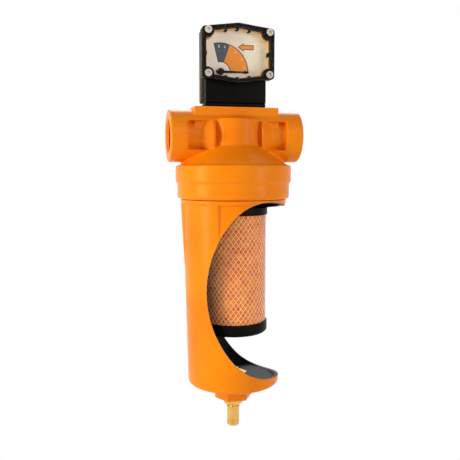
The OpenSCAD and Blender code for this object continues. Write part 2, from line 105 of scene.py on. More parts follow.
def new_material(name):
    """An empty node material with its Principled shader and Object coordinates."""
    material = bpy.data.materials.new(name)
    material.use_nodes = True
    tree = material.node_tree
    tree.nodes.clear()
    shader = put(tree, "ShaderNodeBsdfPrincipled")
    output = put(tree, "ShaderNodeOutputMaterial")
    tree.links.new(shader.outputs[0], output.inputs["Surface"])
    place = put(tree, "ShaderNodeTexCoord").outputs["Object"]
    return material, tree, shader, place


def noise_at(tree, place, size_mm, detail=3.0):
    """Noise whose features are about size_mm across."""
    noise = put(tree, "ShaderNodeTexNoise", {"Vector": place, "Scale": 1000 / size_mm, "Detail": detail})
    return noise.outputs["Fac"]


def ramp_of(tree, factor, stops):
    """A colour ramp from (place, colour) stops, with hex or linear colours."""
    node = put(tree, "ShaderNodeValToRGB", {"Fac": factor})
    elements = node.color_ramp.elements
    while len(elements) < len(stops):
        elements.new(1.0)
    for element, (at, colour) in zip(elements, stops):
        element.position = at
        element.color = linear(colour) if isinstance(colour, str) else colour
    return node.outputs["Color"]


def level_of(tree, factor, low, high):
    """Maps a 0 to 1 factor onto low to high."""
    return put(tree, "ShaderNodeMapRange", {"Value": factor, "To Min": low, "To Max": high}).outputs["Result"]


def bumped(tree, height, shader, strength, depth_mm):
    """Gives a shader a bump of depth_mm from a height."""
    bump = put(tree, "ShaderNodeBump", {"Height": height, "Strength": strength, "Distance": depth_mm * MM})
    tree.links.new(bump.outputs["Normal"], shader.inputs["Normal"])


def new_object(name, mesh):
    """An object at the origin, in the scene."""
    item = bpy.data.objects.new(name, mesh)
    bpy.context.scene.collection.objects.link(item)
    return item


def mesh_of(name, verts, faces):
    """A mesh from points in metres and faces."""
    mesh = bpy.data.meshes.new(name)
    mesh.from_pydata([tuple(v) for v in verts], [], faces)
    mesh.validate()
    return mesh


def dress(item, materials, angle=30):
    """Gives a piece its materials and smooth shading that keeps edges sharper than angle."""
    mesh = item.data
    if len(mesh.materials) != len(materials):
        mesh.materials.clear()
        for material in materials:
            mesh.materials.append(material)
    for place, material in enumerate(materials):
        mesh.materials[place] = material
    mesh.shade_smooth()
    mesh.set_sharp_from_angle(angle=math.radians(angle))
    return item


def apply_modifiers(item):
    """Turns an object's modifiers into its mesh."""
    graph = bpy.context.evaluated_depsgraph_get()
    mesh = bpy.data.meshes.new_from_object(item.evaluated_get(graph))
    item.modifiers.clear()
    item.data = mesh
    return item


def outwards(mesh):
    """Merges doubles and turns every face outwards."""
    work = bmesh.new()
    work.from_mesh(mesh)
    bmesh.ops.remove_doubles(work, verts=work.verts, dist=1e-6)
    bmesh.ops.dissolve_degenerate(work, edges=work.edges, dist=1e-7)
    bmesh.ops.recalc_face_normals(work, faces=work.faces)
    work.to_mesh(mesh)
    work.free()
    return mesh


def joined(name, items):
    """One object from several; the first one's materials come first."""
    mesh_parts = bmesh.new()
    for item in items:
        mesh_parts.from_mesh(item.data)
    mesh = bpy.data.meshes.new(name)
    for material in items[0].data.materials:
        mesh.materials.append(material)
    mesh_parts.to_mesh(mesh)
    mesh_parts.free()
    for item in items:
        bpy.data.objects.remove(item)
    return new_object(name, mesh)


def lathe(name, profile, steps=96, reach_of=None):
    """A closed solid turned about the vertical axis from (radius, height) points, bottom to top outside.

    reach_of(radius, height, angle) may change the radius round the turn.
    """
    verts = []
    rings = []
    for radius, height in profile:
        if radius < 1e-7:
            rings.append([len(verts)])
            verts.append((0, 0, height))
            continue
        ring = []
        for i in range(steps):
            angle = TAU * i / steps
            reach = reach_of(radius, height, angle) if reach_of else radius
            ring.append(len(verts))
            verts.append((reach * math.cos(angle), reach * math.sin(angle), height))
        rings.append(ring)
    faces = []
    loops = rings + ([rings[0]] if len(rings[0]) > 1 else [])
    for low, high in zip(loops, loops[1:]):
        if len(low) == 1 and len(high) == 1:
            continue
        for i in range(steps):
            j = (i + 1) % steps
            if len(low) == 1:
                faces.append((low[0], high[j], high[i]))
            elif len(high) == 1:
                faces.append((low[i], low[j], high[0]))
            else:
                faces.append((low[i], low[j], high[j], high[i]))
    return new_object(name, outwards(mesh_of(name, verts, faces)))


def rounded(profile, radius, steps=4):
    """Rounds the corners of a (radius, height) profile, apart from its ends on the axis."""
    result = []
    count = len(profile)
    for i, corner in enumerate(profile):
        here = Vector(corner)
        if corner[0] < 1e-7:
            result.append(corner)
            continue
        before = Vector(profile[i - 1]) - here
        after = Vector(profile[(i + 1) % count]) - here
        cut = min(radius, before.length * 0.45, after.length * 0.45)
        start = here + before.normalized() * cut
        end = here + after.normalized() * cut
        for k in range(steps + 1):
            t = k / steps
            point = start * (1 - t) ** 2 + here * 2 * t * (1 - t) + end * t**2
            result.append((point.x, point.y))
    return result


def turn_to(item, matrix):
    """Places a piece by its mesh, so that its object stays at the origin."""
    item.data.transform(matrix)
    return item


def upright_prism(name, outline, front, back, bevel=0.0, steps=3, middle=(0.0, 0.0)):
    """A plate from an (x, z) outline about middle, between two y planes, with bevelled rims."""
    work = bmesh.new()
    face = work.faces.new([work.verts.new((middle[0] + x, back, middle[1] + z)) for x, z in outline])
    moved = bmesh.ops.extrude_face_region(work, geom=[face])
    lifted = [v for v in moved["geom"] if isinstance(v, bmesh.types.BMVert)]
    bmesh.ops.translate(work, verts=lifted, vec=(0, front - back, 0))
    bmesh.ops.recalc_face_normals(work, faces=work.faces)
    if bevel > 0:
        rims = [e for e in work.edges if abs(e.verts[0].co.y - e.verts[1].co.y) < 1e-9]
        bevelled(work, rims, bevel, steps)
    return object_of(name, work)


def rounded_box(name, low, high, bevel, steps=3):
    """A box between two corners with all its edges rounded."""
    work = bmesh.new()
    bmesh.ops.create_cube(work, size=1.0)
    low = Vector(low)
    high = Vector(high)
    bmesh.ops.scale(work, vec=high - low, verts=work.verts)
    bmesh.ops.translate(work, vec=(low + high) / 2, verts=work.verts)
    bevelled(work, work.edges[:], bevel, steps)
    return object_of(name, work)


def object_of(name, work):
    """An object from a bmesh, which is then freed."""
    mesh = bpy.data.meshes.new(name)
    work.to_mesh(mesh)
    work.free()
    return new_object(name, mesh)


def bevelled(work, edges, offset, steps):
    """Rounds the given edges of a bmesh."""
    bmesh.ops.bevel(work, geom=edges, offset=offset, segments=steps, affect="EDGES", profile=0.5)


def carve(item, tool):
    """Cuts a tool object out of a piece and removes the tool."""
    modifier = item.modifiers.new("carve", "BOOLEAN")
    modifier.operation = "DIFFERENCE"
    modifier.object = tool
    modifier.solver = "EXACT"
    apply_modifiers(item)
    mesh = tool.data
    bpy.data.objects.remove(tool)
    bpy.data.meshes.remove(mesh)
    return item


def finish_piece(item, materials, body, slot, *nodes, angle=30):
    """Dresses a piece, rides it on its body and hides the nodes that it stands for; slot is not used."""
    dress(item, materials, angle)
    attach(item, body)
    if nodes:
        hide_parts(*nodes)
    return item


# ---------------------------------------------------------------- helpers: Geometry Nodes


def grown(name, build, sizes, material):
    """Makes a plain mesh with a Geometry Nodes tree whose named inputs take the sizes.

    build(tree, inputs) returns the geometry socket; the tree ends in Realize Instances and Set Material.
    """
    tree = bpy.data.node_groups.new(name, "GeometryNodeTree")
    tree.interface.new_socket("Geometry", in_out="OUTPUT", socket_type="NodeSocketGeometry")
    for title, value in sizes.items():
        kind = "NodeSocketInt" if isinstance(value, int) else "NodeSocketFloat"
        tree.interface.new_socket(title, in_out="INPUT", socket_type=kind)
    entry = put(tree, "NodeGroupInput")
    shape = build(tree, entry.outputs)
    real = put(tree, "GeometryNodeRealizeInstances", {"Geometry": shape})
    painted = put(tree, "GeometryNodeSetMaterial", {"Geometry": real.outputs[0], "Material": material})
    put(tree, "NodeGroupOutput", {"Geometry": painted.outputs[0]})
    item = new_object(name, bpy.data.meshes.new(name))
    modifier = item.modifiers.new("grow", "NODES")
    modifier.node_group = tree
    for socket in tree.interface.items_tree:
        if socket.in_out == "INPUT":
            modifier[socket.identifier] = sizes[socket.name]
    apply_modifiers(item)
    if len(item.data.polygons) == 0:
        raise RuntimeError(f"{name}: the node tree made no faces")
    return item


def math_of(tree, operation, a, b):
    """One Math node on two values."""
    node = put(tree, "ShaderNodeMath", {0: a, 1: b}, operation=operation)
    return node.outputs[0]


def helix_curve(tree, radius, turn, rise, start_z, points):
    """A curve on a cylinder that turns and rises as it goes."""
    line = put(tree, "GeometryNodeMeshLine", {"Count": points})
    last = math_of(tree, "SUBTRACT", points, 1)
    share = math_of(tree, "DIVIDE", put(tree, "GeometryNodeInputIndex").outputs[0], last)
    angle = math_of(tree, "MULTIPLY", share, turn)
    x = math_of(tree, "MULTIPLY", math_of(tree, "COSINE", angle, 0.0), radius)
    y = math_of(tree, "MULTIPLY", math_of(tree, "SINE", angle, 0.0), radius)
    z = math_of(tree, "ADD", math_of(tree, "MULTIPLY", share, rise), start_z)
    place = put(tree, "ShaderNodeCombineXYZ", {"X": x, "Y": y, "Z": z}).outputs[0]
    moved = put(tree, "GeometryNodeSetPosition", {"Geometry": line.outputs["Mesh"], "Position": place})
    return put(tree, "GeometryNodeMeshToCurve", {"Mesh": moved.outputs[0]}).outputs[0]


def swept(tree, curve, radius, sides):
    """A round wire along a curve."""
    ring = put(tree, "GeometryNodeCurvePrimitiveCircle", {"Radius": radius, "Resolution": sides})
    wire = put(tree, "GeometryNodeCurveToMesh", {"Curve": curve, "Profile Curve": ring.outputs[0]})
    wire.inputs["Fill Caps"].default_value = True
    return wire.outputs[0]


def round_the_axis(tree, shape, count):
    """Copies of a shape turned about the vertical axis."""
    spots = put(tree, "GeometryNodeMeshLine", {"Count": count, "Offset": (0, 0, 0)})
    step = math_of(tree, "DIVIDE", TAU, count)
    angle = math_of(tree, "MULTIPLY", put(tree, "GeometryNodeInputIndex").outputs[0], step)
    turn = put(tree, "ShaderNodeCombineXYZ", {"Z": angle}).outputs[0]
    copies = put(
        tree,
        "GeometryNodeInstanceOnPoints",
        {"Points": spots.outputs[0], "Instance": shape, "Rotation": turn},
    )
    return copies.outputs[0]


def both(tree, *shapes):
    """Several geometries as one."""
    node = put(tree, "GeometryNodeJoinGeometry")
    for shape in shapes:
        tree.links.new(shape, node.inputs[0])
    return node.outputs[0]


# ---------------------------------------------------------------- materials


def powder_coat(name, colour):
    """Orange polyester powder coat, sprayed and baked: gloss with a faint orange peel a millimetre wide."""
    material, tree, shader, place = new_material(name)
    broad = noise_at(tree, place, 60, 2)
    values = {
        "Base Color": ramp_of(tree, broad, [(0.35, colour), (0.65, "#EA7D0C")]),
        "Roughness": level_of(tree, noise_at(tree, place, 9), 0.26, 0.34),
        "IOR": 1.5,
        "Specular IOR Level": 0.14,
    }
    fill(tree, shader, values)
    bumped(tree, noise_at(tree, place, 1.6, 2), shader, 0.25, 0.06)
    return material


def grained(name, grain_mm, detail, shades, roughness, bump=None, spread=(0.3, 0.7), metallic=0.0, specular=0.5):
    """A surface whose grain shows in its colour, and may show in its roughness and its bump.

    roughness is a number or a (low, high) range, and bump is (strength, depth in millimetres).
    """
    material, tree, shader, place = new_material(name)
    grain = noise_at(tree, place, grain_mm, detail)
    values = {
        "Base Color": ramp_of(tree, grain, list(zip(spread, shades))),
        "Roughness": level_of(tree, grain, *roughness) if isinstance(roughness, tuple) else roughness,
        "Metallic": metallic,
        "Specular IOR Level": specular,
    }
    fill(tree, shader, values)
    if bump:
        bumped(tree, grain, shader, *bump)
    return material


def dark_lining(name):
    """Black epoxy lining on the inside and the cut faces of the bowl: satin, with a fine dusty grain."""
    return grained(name, 2.2, 5, ("#08090B", "#14171A"), roughness=(0.34, 0.5), bump=(0.3, 0.05), specular=0.12)


def moulded_plastic(name, dark, light, roughness, grain_mm=1.4):
    """Injection moulded plastic: an even spark-eroded grain that catches the light in a soft sheen."""
    span = (roughness - 0.06, roughness + 0.08)
    return grained(name, grain_mm, 4, (dark, light), span, bump=(0.25, 0.04), specular=0.05)


def nitrile_rubber(name):
    """Nitrile rubber, pressed in a mould: dull and nearly black, with a bloom in faint patches."""
    return grained(name, 3.0, 4, ("#141414", "#26262A"), roughness=0.62, bump=(0.2, 0.04), spread=(0.35, 0.7))


def expanded_steel(name):
    """Expanded and flattened stainless steel: bright strands with a fine rolled grain."""
    return grained(name, 0.9, 3, ("#DCCFBC", "#FAF3E8"), roughness=(0.4, 0.55), metallic=0.3)


def blend_of(tree, first, second, share):
    """A mix of two values, with share of the first."""
    return math_of(
        tree, "ADD", math_of(tree, "MULTIPLY", first, share), math_of(tree, "MULTIPLY", second, 1 - share)
    )


def dyed_felt(name, red, yellow):
    """Needled polyester felt dyed orange-red: fibres drawn coarse enough to show."""
    material, tree, shader, place = new_material(name)
    fibres = noise_at(tree, place, 0.7, 6)
    mixed = blend_of(tree, fibres, noise_at(tree, place, 6.0, 2), 0.55)
    values = {
        "Base Color": ramp_of(tree, mixed, [(0.36, red), (0.64, yellow)]),
        "Roughness": 0.55,
        "Specular IOR Level": 0.15,
    }
    fill(tree, shader, values)
    bumped(tree, fibres, shader, 0.6, 0.25)
    return material


def glass_fibre(name):
    """Pleated borosilicate glass fibre paper: off white and matt, with a soft fibrous grain."""
    return grained(name, 0.8, 6, ("#D8D4C4", "#F1EEE2"), roughness=0.85, bump=(0.4, 0.1))


def turned_brass(name, dark, light):
    """Free-cutting brass turned on a lathe: warm, with the tool's rings drawn coarse enough to show."""
    material, tree, shader, place = new_material(name)
    ring_pitch = 1.6 * MM
    height = put(tree, "ShaderNodeSeparateXYZ", {"Vector": place}).outputs["Z"]
    rings = math_of(tree, "SINE", math_of(tree, "MULTIPLY", height, TAU / ring_pitch), 0.0)
    tarnish = noise_at(tree, place, 7.0, 2)
    values = {
        "Base Color": ramp_of(tree, tarnish, [(0.3, dark), (0.7, light)]),
        "Roughness": level_of(tree, tarnish, 0.2, 0.34),
        "Metallic": 0.85,
    }
    fill(tree, shader, values)
    bumped(tree, rings, shader, 0.06, 0.03)
    return material


def plated_steel(name):
    """Zinc plated steel, drawn and barrel finished: pale warm grey with a slightly clouded shine."""
    return grained(name, 1.5, 4, ("#857D74", "#AAA197"), roughness=(0.24, 0.42), bump=(0.15, 0.03), metallic=0.9)


def turned_aluminium(name):
    """Turned and anodised aluminium: cool grey with a slightly clouded sheen."""
    return grained(name, 1.2, 4, ("#9EA1A6", "#C4C7CC"), roughness=(0.28, 0.42), metallic=1.0)


def dial_foil(name, colour):
    """Printed aluminium dial: a satin silver lacquer over metal that was brushed in one direction."""
    material, tree, shader, place = new_material(name)
    stretched = put(tree, "ShaderNodeMapping", {"Vector": place, "Scale": (0.08, 1.0, 1.0)}).outputs[0]
    brush = noise_at(tree, stretched, 0.5, 4)
    mixed = blend_of(tree, brush, noise_at(tree, place, 22, 2), 0.35)
    shade = ramp_of(tree, mixed, [(0.35, "#E6DEDC"), (0.65, colour)])
    fill(tree, shader, {"Base Color": shade, "Roughness": 0.42})
    bumped(tree, brush, shader, 0.15, 0.03)
    return material


def dial_ink(name, dark, light):
    """Screen printed ink on the dial: flat and even, with the faint mottle of a print."""
    return grained(name, 0.8, 3, (dark, light), roughness=0.5, spread=(0.35, 0.65))


def clear_cover(name):
    """Clear polycarbonate, injection moulded: glossy and nearly invisible face on; its grey body shows more at
    glancing angles, a painted reflection that makes it brighter at its edges.
    """
    material, tree, shader, place = new_material(name)
    haze = noise_at(tree, place, 14, 2)
    # Painted reflection: the cover grows more opaque and grey at glancing angles.
    edge = put(tree, "ShaderNodeLayerWeight", {"Blend": 0.35}).outputs["Facing"]
    span = {"Value": edge, "From Min": 0.25, "From Max": 0.95, "To Min": 0.015, "To Max": 0.2}
    values = {
        "Alpha": put(tree, "ShaderNodeMapRange", span).outputs["Result"],
        "Base Color": ramp_of(tree, haze, [(0.3, "#8F8A86"), (0.7, "#A29D98")]),
        "Roughness": 0.06,
        "IOR": 1.58,
    }
    fill(tree, shader, values)
    return material


def seen_rays(tree):
    """1 for rays from the camera, from shiny metal and through glass, and 0 for the rest."""
    rays = put(tree, "ShaderNodeLightPath").outputs
    seen = math_of(tree, "MAXIMUM", rays["Is Camera Ray"], rays["Is Glossy Ray"])
    return math_of(tree, "MAXIMUM", seen, rays["Is Transmission Ray"])


def plain_stage(name, colour):
    """Matt white paper on the floor; it shows as plain white to the camera and in metal and glass."""
    material = bpy.data.materials.new(name)
    material.use_nodes = True
    tree = material.node_tree
    tree.nodes.clear()
    matt = put(tree, "ShaderNodeBsdfDiffuse", {"Color": linear(colour)})
    glow = put(tree, "ShaderNodeEmission", {"Color": (1, 1, 1, 1), "Strength": 1.0})
    mix = put(tree, "ShaderNodeMixShader", {"Fac": seen_rays(tree), 1: matt.outputs[0], 2: glow.outputs[0]})
    put(tree, "ShaderNodeOutputMaterial", {"Surface": mix.outputs[0]})
    return material


def kept(make, name, *values):
    """A material that is made once and then shared."""
    return bpy.data.materials.get(name) or make(name, *values)


def coat(colours):
    return kept(powder_coat, "powder_coat_polyester", rgba(colours.powder_coat))


def block_black():
    return kept(moulded_plastic, "glass_filled_nylon", "#040405", "#0A0A0C", 0.42)


def bezel_black():
    return kept(moulded_plastic, "black_abs", "#050506", "#0B0B0D", 0.3, 1.0)


def cap_black():
    return kept(moulded_plastic, "black_polypropylene", "#060607", "#101012", 0.38)


# Painted sheen: this grey stands for the light that falls on the sides of the black gauge block.
def flange_lit_grey():
    return kept(moulded_plastic, "grey_nylon", "#4C4A48", "#6A6866", 0.5)


def brass():
    return kept(turned_brass, "turned_brass", "#DFAE5E", "#E9BF72")


def rgba(colour):
    """A colour property as linear RGBA."""
    return [*colour, 1.0]


# ---------------------------------------------------------------- sizes taken from the frame

BOWL_LOW, BOWL_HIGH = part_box("bowl")
JACKET_LOW, JACKET_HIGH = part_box("element_mesh")
TOP_CAP_LOW, TOP_CAP_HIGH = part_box("element_top_cap")
LOW_CAP_LOW, LOW_CAP_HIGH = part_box("element_bottom_cap")
BLOCK_LOW, BLOCK_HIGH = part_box("gauge_block")
PLATE_LOW, PLATE_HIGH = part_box("gauge_plate")
LENS_LOW, LENS_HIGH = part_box("gauge_lens")
BEZEL_LOW, BEZEL_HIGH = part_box("gauge_bezel")
DIAL_LOW, DIAL_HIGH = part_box("dial_plate")
COVER_LOW, COVER_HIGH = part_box("gauge_back_cover")
COVER_SCREW_LOW, COVER_SCREW_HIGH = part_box("cover_screws")
LENS_SCREW_LOW, LENS_SCREW_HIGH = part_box("lens_screw_se")
NEEDLE_LOW, NEEDLE_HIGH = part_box("needle")
STEM_LOW, STEM_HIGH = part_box("drain_stem")
DRAIN_LOW, DRAIN_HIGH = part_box("drain_body")

FOOT_Z = 45 * MM
FOOT_R = 44.1 * MM
FOOT_ROUND = 4 * MM
PANEL_R = 48.4 * MM
RIB_R = 50.4 * MM
RIB_FOOT_R = 47.3 * MM
RIB_Z = 161.5 * MM
LIP_Z = 220.5 * MM
LIP_TOP = 224.2 * MM
NECK_R = 46.7 * MM
NECK_TOP = BOWL_HIGH[2]
WALL = 3.5 * MM
FLOOR_Z = 49 * MM
SHANK_HOLE_R = 8.1 * MM
RIB_TURN = math.radians(-4.5)
HEX_FLAT = 16 * MM
OUTSIDE_HEIGHTS = (70, 95, 120, 145, 158, 160, 160.8, 161.5, 162.2, 163, 166, 175, 190, 205, 215, 218, 219.2)
INSIDE_HEIGHTS = (220.5, 180, 140, 100, 70, 53)

CUT_TURN = math.radians(-12.9)
CUT_TILT = math.radians(7)
CUT_MIDDLE = Vector((38, -44.1, 140.5)) * MM
CUT_HALF = (62.4 * MM, 82.5 * MM)
CUT_END_R = 50 * MM
CUT_REACH = 90 * MM
END_STEPS, SIDE_STEPS = 24, 48

GAUGE_Z = (DIAL_LOW[2] + DIAL_HIGH[2]) / 2
PIVOT = (-15 * MM, GAUGE_Z - 16 * MM)
DIAL_FRONT = DIAL_LOW[1]
WINDOW_HALF = (34 * MM, 23 * MM)
WINDOW_PEAK = 4 * MM
SCREW_HALF = (28.6 * MM, 19.05 * MM)
SCALLOP_R = 6 * MM

FIELD_NEAR, FIELD_FAR = 9 * MM, 26 * MM
FIELD_SPLIT, FIELD_END = 70.5, 104
PRINT = 0.08 * MM
OVERPRINT = 0.14 * MM
ARROW_EDGE = [(0.0, 0.0), (5.6, -3.8), (5.6, -2.2), (15.2, -2.2), (15.2, 2.2), (5.6, 2.2), (5.6, 3.8)]
ARROW_FILL = [(1.3, 0.0), (4.9, -2.5), (4.9, -1.5), (14.5, -1.5), (14.5, 1.5), (4.9, 1.5), (4.9, 2.5)]
NUMBER_ANGLES = (("8", 94), ("6", 80), ("4", 52), ("2", 30), ("0", 9))
BLADE = [(-4.3, -1.1), (0, -1.2), (21, -0.6), (22, -1.2), (24.5, -1.2), (27, 0)]
BLADE += [(24.5, 1.2), (22, 1.2), (21, 0.6), (0, 1.2), (-4.3, 1.1)]
RING_CUT = ((0, 0), (0.3, 0.25), (0.3, 0.5), (0, 0.75))

VIEW_YAW = math.radians(-12.9)
VIEW_DOWN = math.radians(5.34)
VIEW_DISTANCE, VIEW_SHIFT, VIEW_HEIGHT = 600 * MM, 3.1 * MM, 250.1 * MM
SURROUND_LIGHT = 0.16
LAMP_AIM = (0, 0, 0.2)
LAMPS = (
    ("key_left", (-0.85, -0.22, 0.34), (0.3, 0.8), 1.0, "#FFF1A4"),
    ("fill_right", (0.62, -0.66, 0.3), (0.3, 0.8), 0.42, "#FFEBCB"),
    ("front_soft", (0.1, -1.1, 0.75), (0.5, 0.4), 0.2, "#FFFFFF"),
    ("rear_top", (0.2, 0.7, 0.8), (0.5, 0.5), 0.4, "#FFFFFF"),
)


# ---------------------------------------------------------------- outlines


def rounded_outline(corners, radius, steps=6):
    """A convex outline, counter-clockwise, grown from its corner centres by radius."""
    result = []
    count = len(corners)
    for i, (x, z) in enumerate(corners):
        back = Vector((x, z)) - Vector(corners[i - 1])
        ahead = Vector(corners[(i + 1) % count]) - Vector((x, z))
        start = math.atan2(-back.x, back.y)
        turn = (math.atan2(-ahead.x, ahead.y) - start) % TAU
        for k in range(steps + 1):
            angle = start + turn * k / steps
            result.append((x + radius * math.cos(angle), z + radius * math.sin(angle)))
    return result


def window_outline(inset, corner):
    """The gauge's outline: a rectangle whose long sides rise to a low peak, set in by inset."""
    half_w = WINDOW_HALF[0] - inset - corner
    half_h = WINDOW_HALF[1] - inset - corner
    peak = half_h + WINDOW_PEAK
    corners = [(-half_w, -half_h), (0, -peak), (half_w, -half_h), (half_w, half_h), (0, peak), (-half_w, half_h)]
    return rounded_outline(corners, corner)


def circle_outline(radius, steps=48):
    """A round outline."""
    angles = [TAU * i / steps for i in range(steps)]
    return [(radius * math.cos(a), radius * math.sin(a)) for a in angles]


def sector_outline(inner, outer, start, end, steps=40):
    """Part of a ring between two angles in degrees."""
    angles = [math.radians(start + (end - start) * i / steps) for i in range(steps + 1)]
    far = [(outer * math.cos(a), outer * math.sin(a)) for a in angles]
    near = [(inner * math.cos(a), inner * math.sin(a)) for a in reversed(angles)]
    return far + near


def window_plate(name, inset, corner, front, back, bevel=0.0, steps=3):
    """A plate in the gauge's outline."""
    return upright_prism(name, window_outline(inset, corner), front, back, bevel, steps, (0, GAUGE_Z))


def scalloped(name, inset, corner, front, back, scallop):
    """A plate in the gauge's outline with round bites at the four lens screws."""
    plate = window_plate(name, inset, corner, front, back)
    for x in (-1, 1):
        for z in (-1, 1):
            middle = (x * SCREW_HALF[0], GAUGE_Z + z * SCREW_HALF[1])
            bite = upright_prism("bite", circle_outline(scallop), front - MM, back + MM, middle=middle)
            carve(plate, bite)
    return plate


# ---------------------------------------------------------------- head


def make_head(sizes, colours):
    """The cast head: the CAD solid with its edges softened as a sand casting's are."""
    mesh = frame["nodes"]["head"].data.copy()
    outwards(mesh)
    head = new_object("head_casting", mesh)
    skin = head.modifiers.new("skin", "REMESH")
    skin.mode = "VOXEL"
    skin.voxel_size = sizes.casting_grain
    soft = head.modifiers.new("soft", "SMOOTH")
    soft.factor = 0.5
    soft.iterations = 4
    lighter = head.modifiers.new("lighter", "DECIMATE")
    lighter.ratio = 0.55
    apply_modifiers(head)
    finish_piece(head, [coat(colours)], "root", "powder_coat", "head", angle=60)


def thread_ridge(tree, inputs):
    """A four-sided ridge that winds along a bore."""
    rise = inputs["Length"]
    turn = math_of(tree, "MULTIPLY", math_of(tree, "DIVIDE", rise, inputs["Pitch"]), TAU)
    curve = helix_curve(tree, inputs["Radius"], turn, rise, 0.0, inputs["Points"])
    return swept(tree, curve, inputs["Ridge"], 4)


def make_port_threads(sizes, colours):
    """The internal pipe thread of both ports."""
    run = THREAD_LEN - THREAD_RUN_OUT
    values = {
        "Length": run,
        "Pitch": sizes.thread_pitch,
        "Radius": THREAD_R,
        "Ridge": sizes.thread_pitch * RIDGE_SHARE,
        "Points": 360,
    }
    parts = []
    for place in ("inlet_port", "outlet_port"):
        item = grown("port_thread", thread_ridge, values, coat(colours))
        start = Matrix.Translation((MOUNTS[place]["pos_m"][0] - run / 2, 0, PORT_Z))
        parts.append(turn_to(item, start @ Matrix.Rotation(QUARTER, 4, "Y")))
    threads = joined("port_threads", parts)
    outwards(threads.data)
    finish_piece(threads, [coat(colours)], "root", "powder_coat", angle=40)


# ---------------------------------------------------------------- bowl


def smooth_step(low, high, value):
    """0 below low, 1 above high and a smooth rise between them."""
    t = min(max((value - low) / (high - low), 0.0), 1.0)
    return t * t * (3 - 2 * t)


def panel_radius(height):
    """The bowl's plain outside, which widens upwards."""
    return FOOT_R + (PANEL_R - FOOT_R) * (height - FOOT_Z - FOOT_ROUND) / (LIP_Z - FOOT_Z - FOOT_ROUND)


def inner_radius(height):
    """The inside of the bowl's wall."""
    return FOOT_R - WALL + (PANEL_R - FOOT_R) * (height - FOOT_Z) / (LIP_Z - FOOT_Z)


def ribbed(sizes):
    """How far the outside reaches at an angle, with ribs that meet the lip at the top."""
    soft = sizes.rib_edge
    step = TAU / sizes.rib_count

    def reach(radius, height, angle):
        outside = radius > inner_radius(height) + WALL / 2
        if not outside or height < RIB_Z - soft or height > LIP_Z:
            return radius
        off = (angle - RIB_TURN + step / 2) % step - step / 2
        across = abs(off) * radius
        share = 1 - smooth_step(sizes.rib_width / 2 - soft / 2, sizes.rib_width / 2 + soft / 2, across)
        share *= smooth_step(RIB_Z - soft, RIB_Z + soft, height)
        rib = RIB_FOOT_R + (RIB_R - RIB_FOOT_R) * (height - RIB_Z) / (LIP_Z - RIB_Z)
        return radius + max(rib - radius, 0) * share

    return reach


def bowl_profile():
    """Outside from the shank hole up to the neck, then inside back down."""
    points = [(SHANK_HOLE_R, FOOT_Z)]
    steps = 8
    for k in range(steps + 1):
        angle = QUARTER * (k / steps - 1)
        middle = FOOT_R - FOOT_ROUND
        points.append((middle + FOOT_ROUND * math.cos(angle), FOOT_Z + FOOT_ROUND * (1 + math.sin(angle))))
    points += [(panel_radius(h * MM), h * MM) for h in OUTSIDE_HEIGHTS]
    bevel = 0.9 * MM
    points += [(RIB_R - 0.5 * MM, LIP_Z - 0.1 * MM), (RIB_R, LIP_Z + 0.5 * MM), (RIB_R, LIP_TOP - bevel)]
    points += [(RIB_R - bevel * 0.3, LIP_TOP - bevel * 0.3), (RIB_R - bevel, LIP_TOP), (NECK_R, LIP_TOP)]
    groove_low = NECK_TOP - 5.95 * MM
    groove_high = NECK_TOP - 3.05 * MM
    groove_r = NECK_R - 2.6 * MM
    points += [(NECK_R, groove_low), (groove_r, groove_low), (groove_r, groove_high), (NECK_R, groove_high)]
    neck_wall = 4.5 * MM
    points += [(NECK_R, NECK_TOP), (NECK_R - neck_wall, NECK_TOP), (NECK_R - neck_wall, LIP_TOP)]
    points += [(inner_radius(h * MM), h * MM) for h in INSIDE_HEIGHTS]
    corner_r = inner_radius(FLOOR_Z) - FOOT_ROUND
    steps = 6
    for k in range(1, steps + 1):
        angle = -QUARTER * k / steps
        points.append((corner_r + FOOT_ROUND * math.cos(angle), FLOOR_Z + FOOT_ROUND * (1 + math.sin(angle))))
    points.append((SHANK_HOLE_R, FLOOR_Z))
    return points


def cut_outline():
    """The cut-away seen from its own front: an oval that runs out past the right side."""
    half_w, half_h = CUT_HALF
    end_z = half_h - CUT_END_R
    side_r = (half_w**2 + end_z**2 - CUT_END_R**2) / (2 * (half_w - CUT_END_R))
    side_x = side_r - half_w
    lean = math.atan2(end_z, -side_x)
    points = [(CUT_REACH, -half_h)]
    for k in range(END_STEPS + 1):
        angle = -QUARTER - (lean - QUARTER) * k / END_STEPS
        points.append((CUT_END_R * math.cos(angle), -end_z + CUT_END_R * math.sin(angle)))
    for k in range(1, SIDE_STEPS):
        angle = TAU - lean - (TAU - 2 * lean) * k / SIDE_STEPS
        points.append((side_x + side_r * math.cos(angle), side_r * math.sin(angle)))
    for k in range(END_STEPS + 1):
        angle = lean - (lean - QUARTER) * k / END_STEPS
        points.append((CUT_END_R * math.cos(angle), end_z + CUT_END_R * math.sin(angle)))
    points.append((CUT_REACH, half_h))
    return points


def make_boss():
    """The hexagon under the bowl, bored for the drain's shank."""
    across = HEX_FLAT / math.cos(TAU / 12)
    low = BOWL_LOW[2]
    bore_top = 60 * MM
    hexagon = [(across * math.cos(TAU * i / 6), across * math.sin(TAU * i / 6)) for i in range(6)]
    boss = upright_prism("boss", hexagon, -FOOT_Z - 2 * MM, -low)
    boss.data.transform(Matrix.Rotation(-QUARTER, 4, "X"))
    work = bmesh.new()
    work.from_mesh(boss.data)
    bmesh.ops.recalc_face_normals(work, faces=work.faces)
    bevelled(work, work.edges[:], 1.0 * MM, 3)
    work.to_mesh(boss.data)
    work.free()
    profile = [(0, low - MM), (SHANK_HOLE_R, low - MM), (SHANK_HOLE_R, bore_top), (0, bore_top)]
    return carve(boss, lathe("hole", profile, 64))


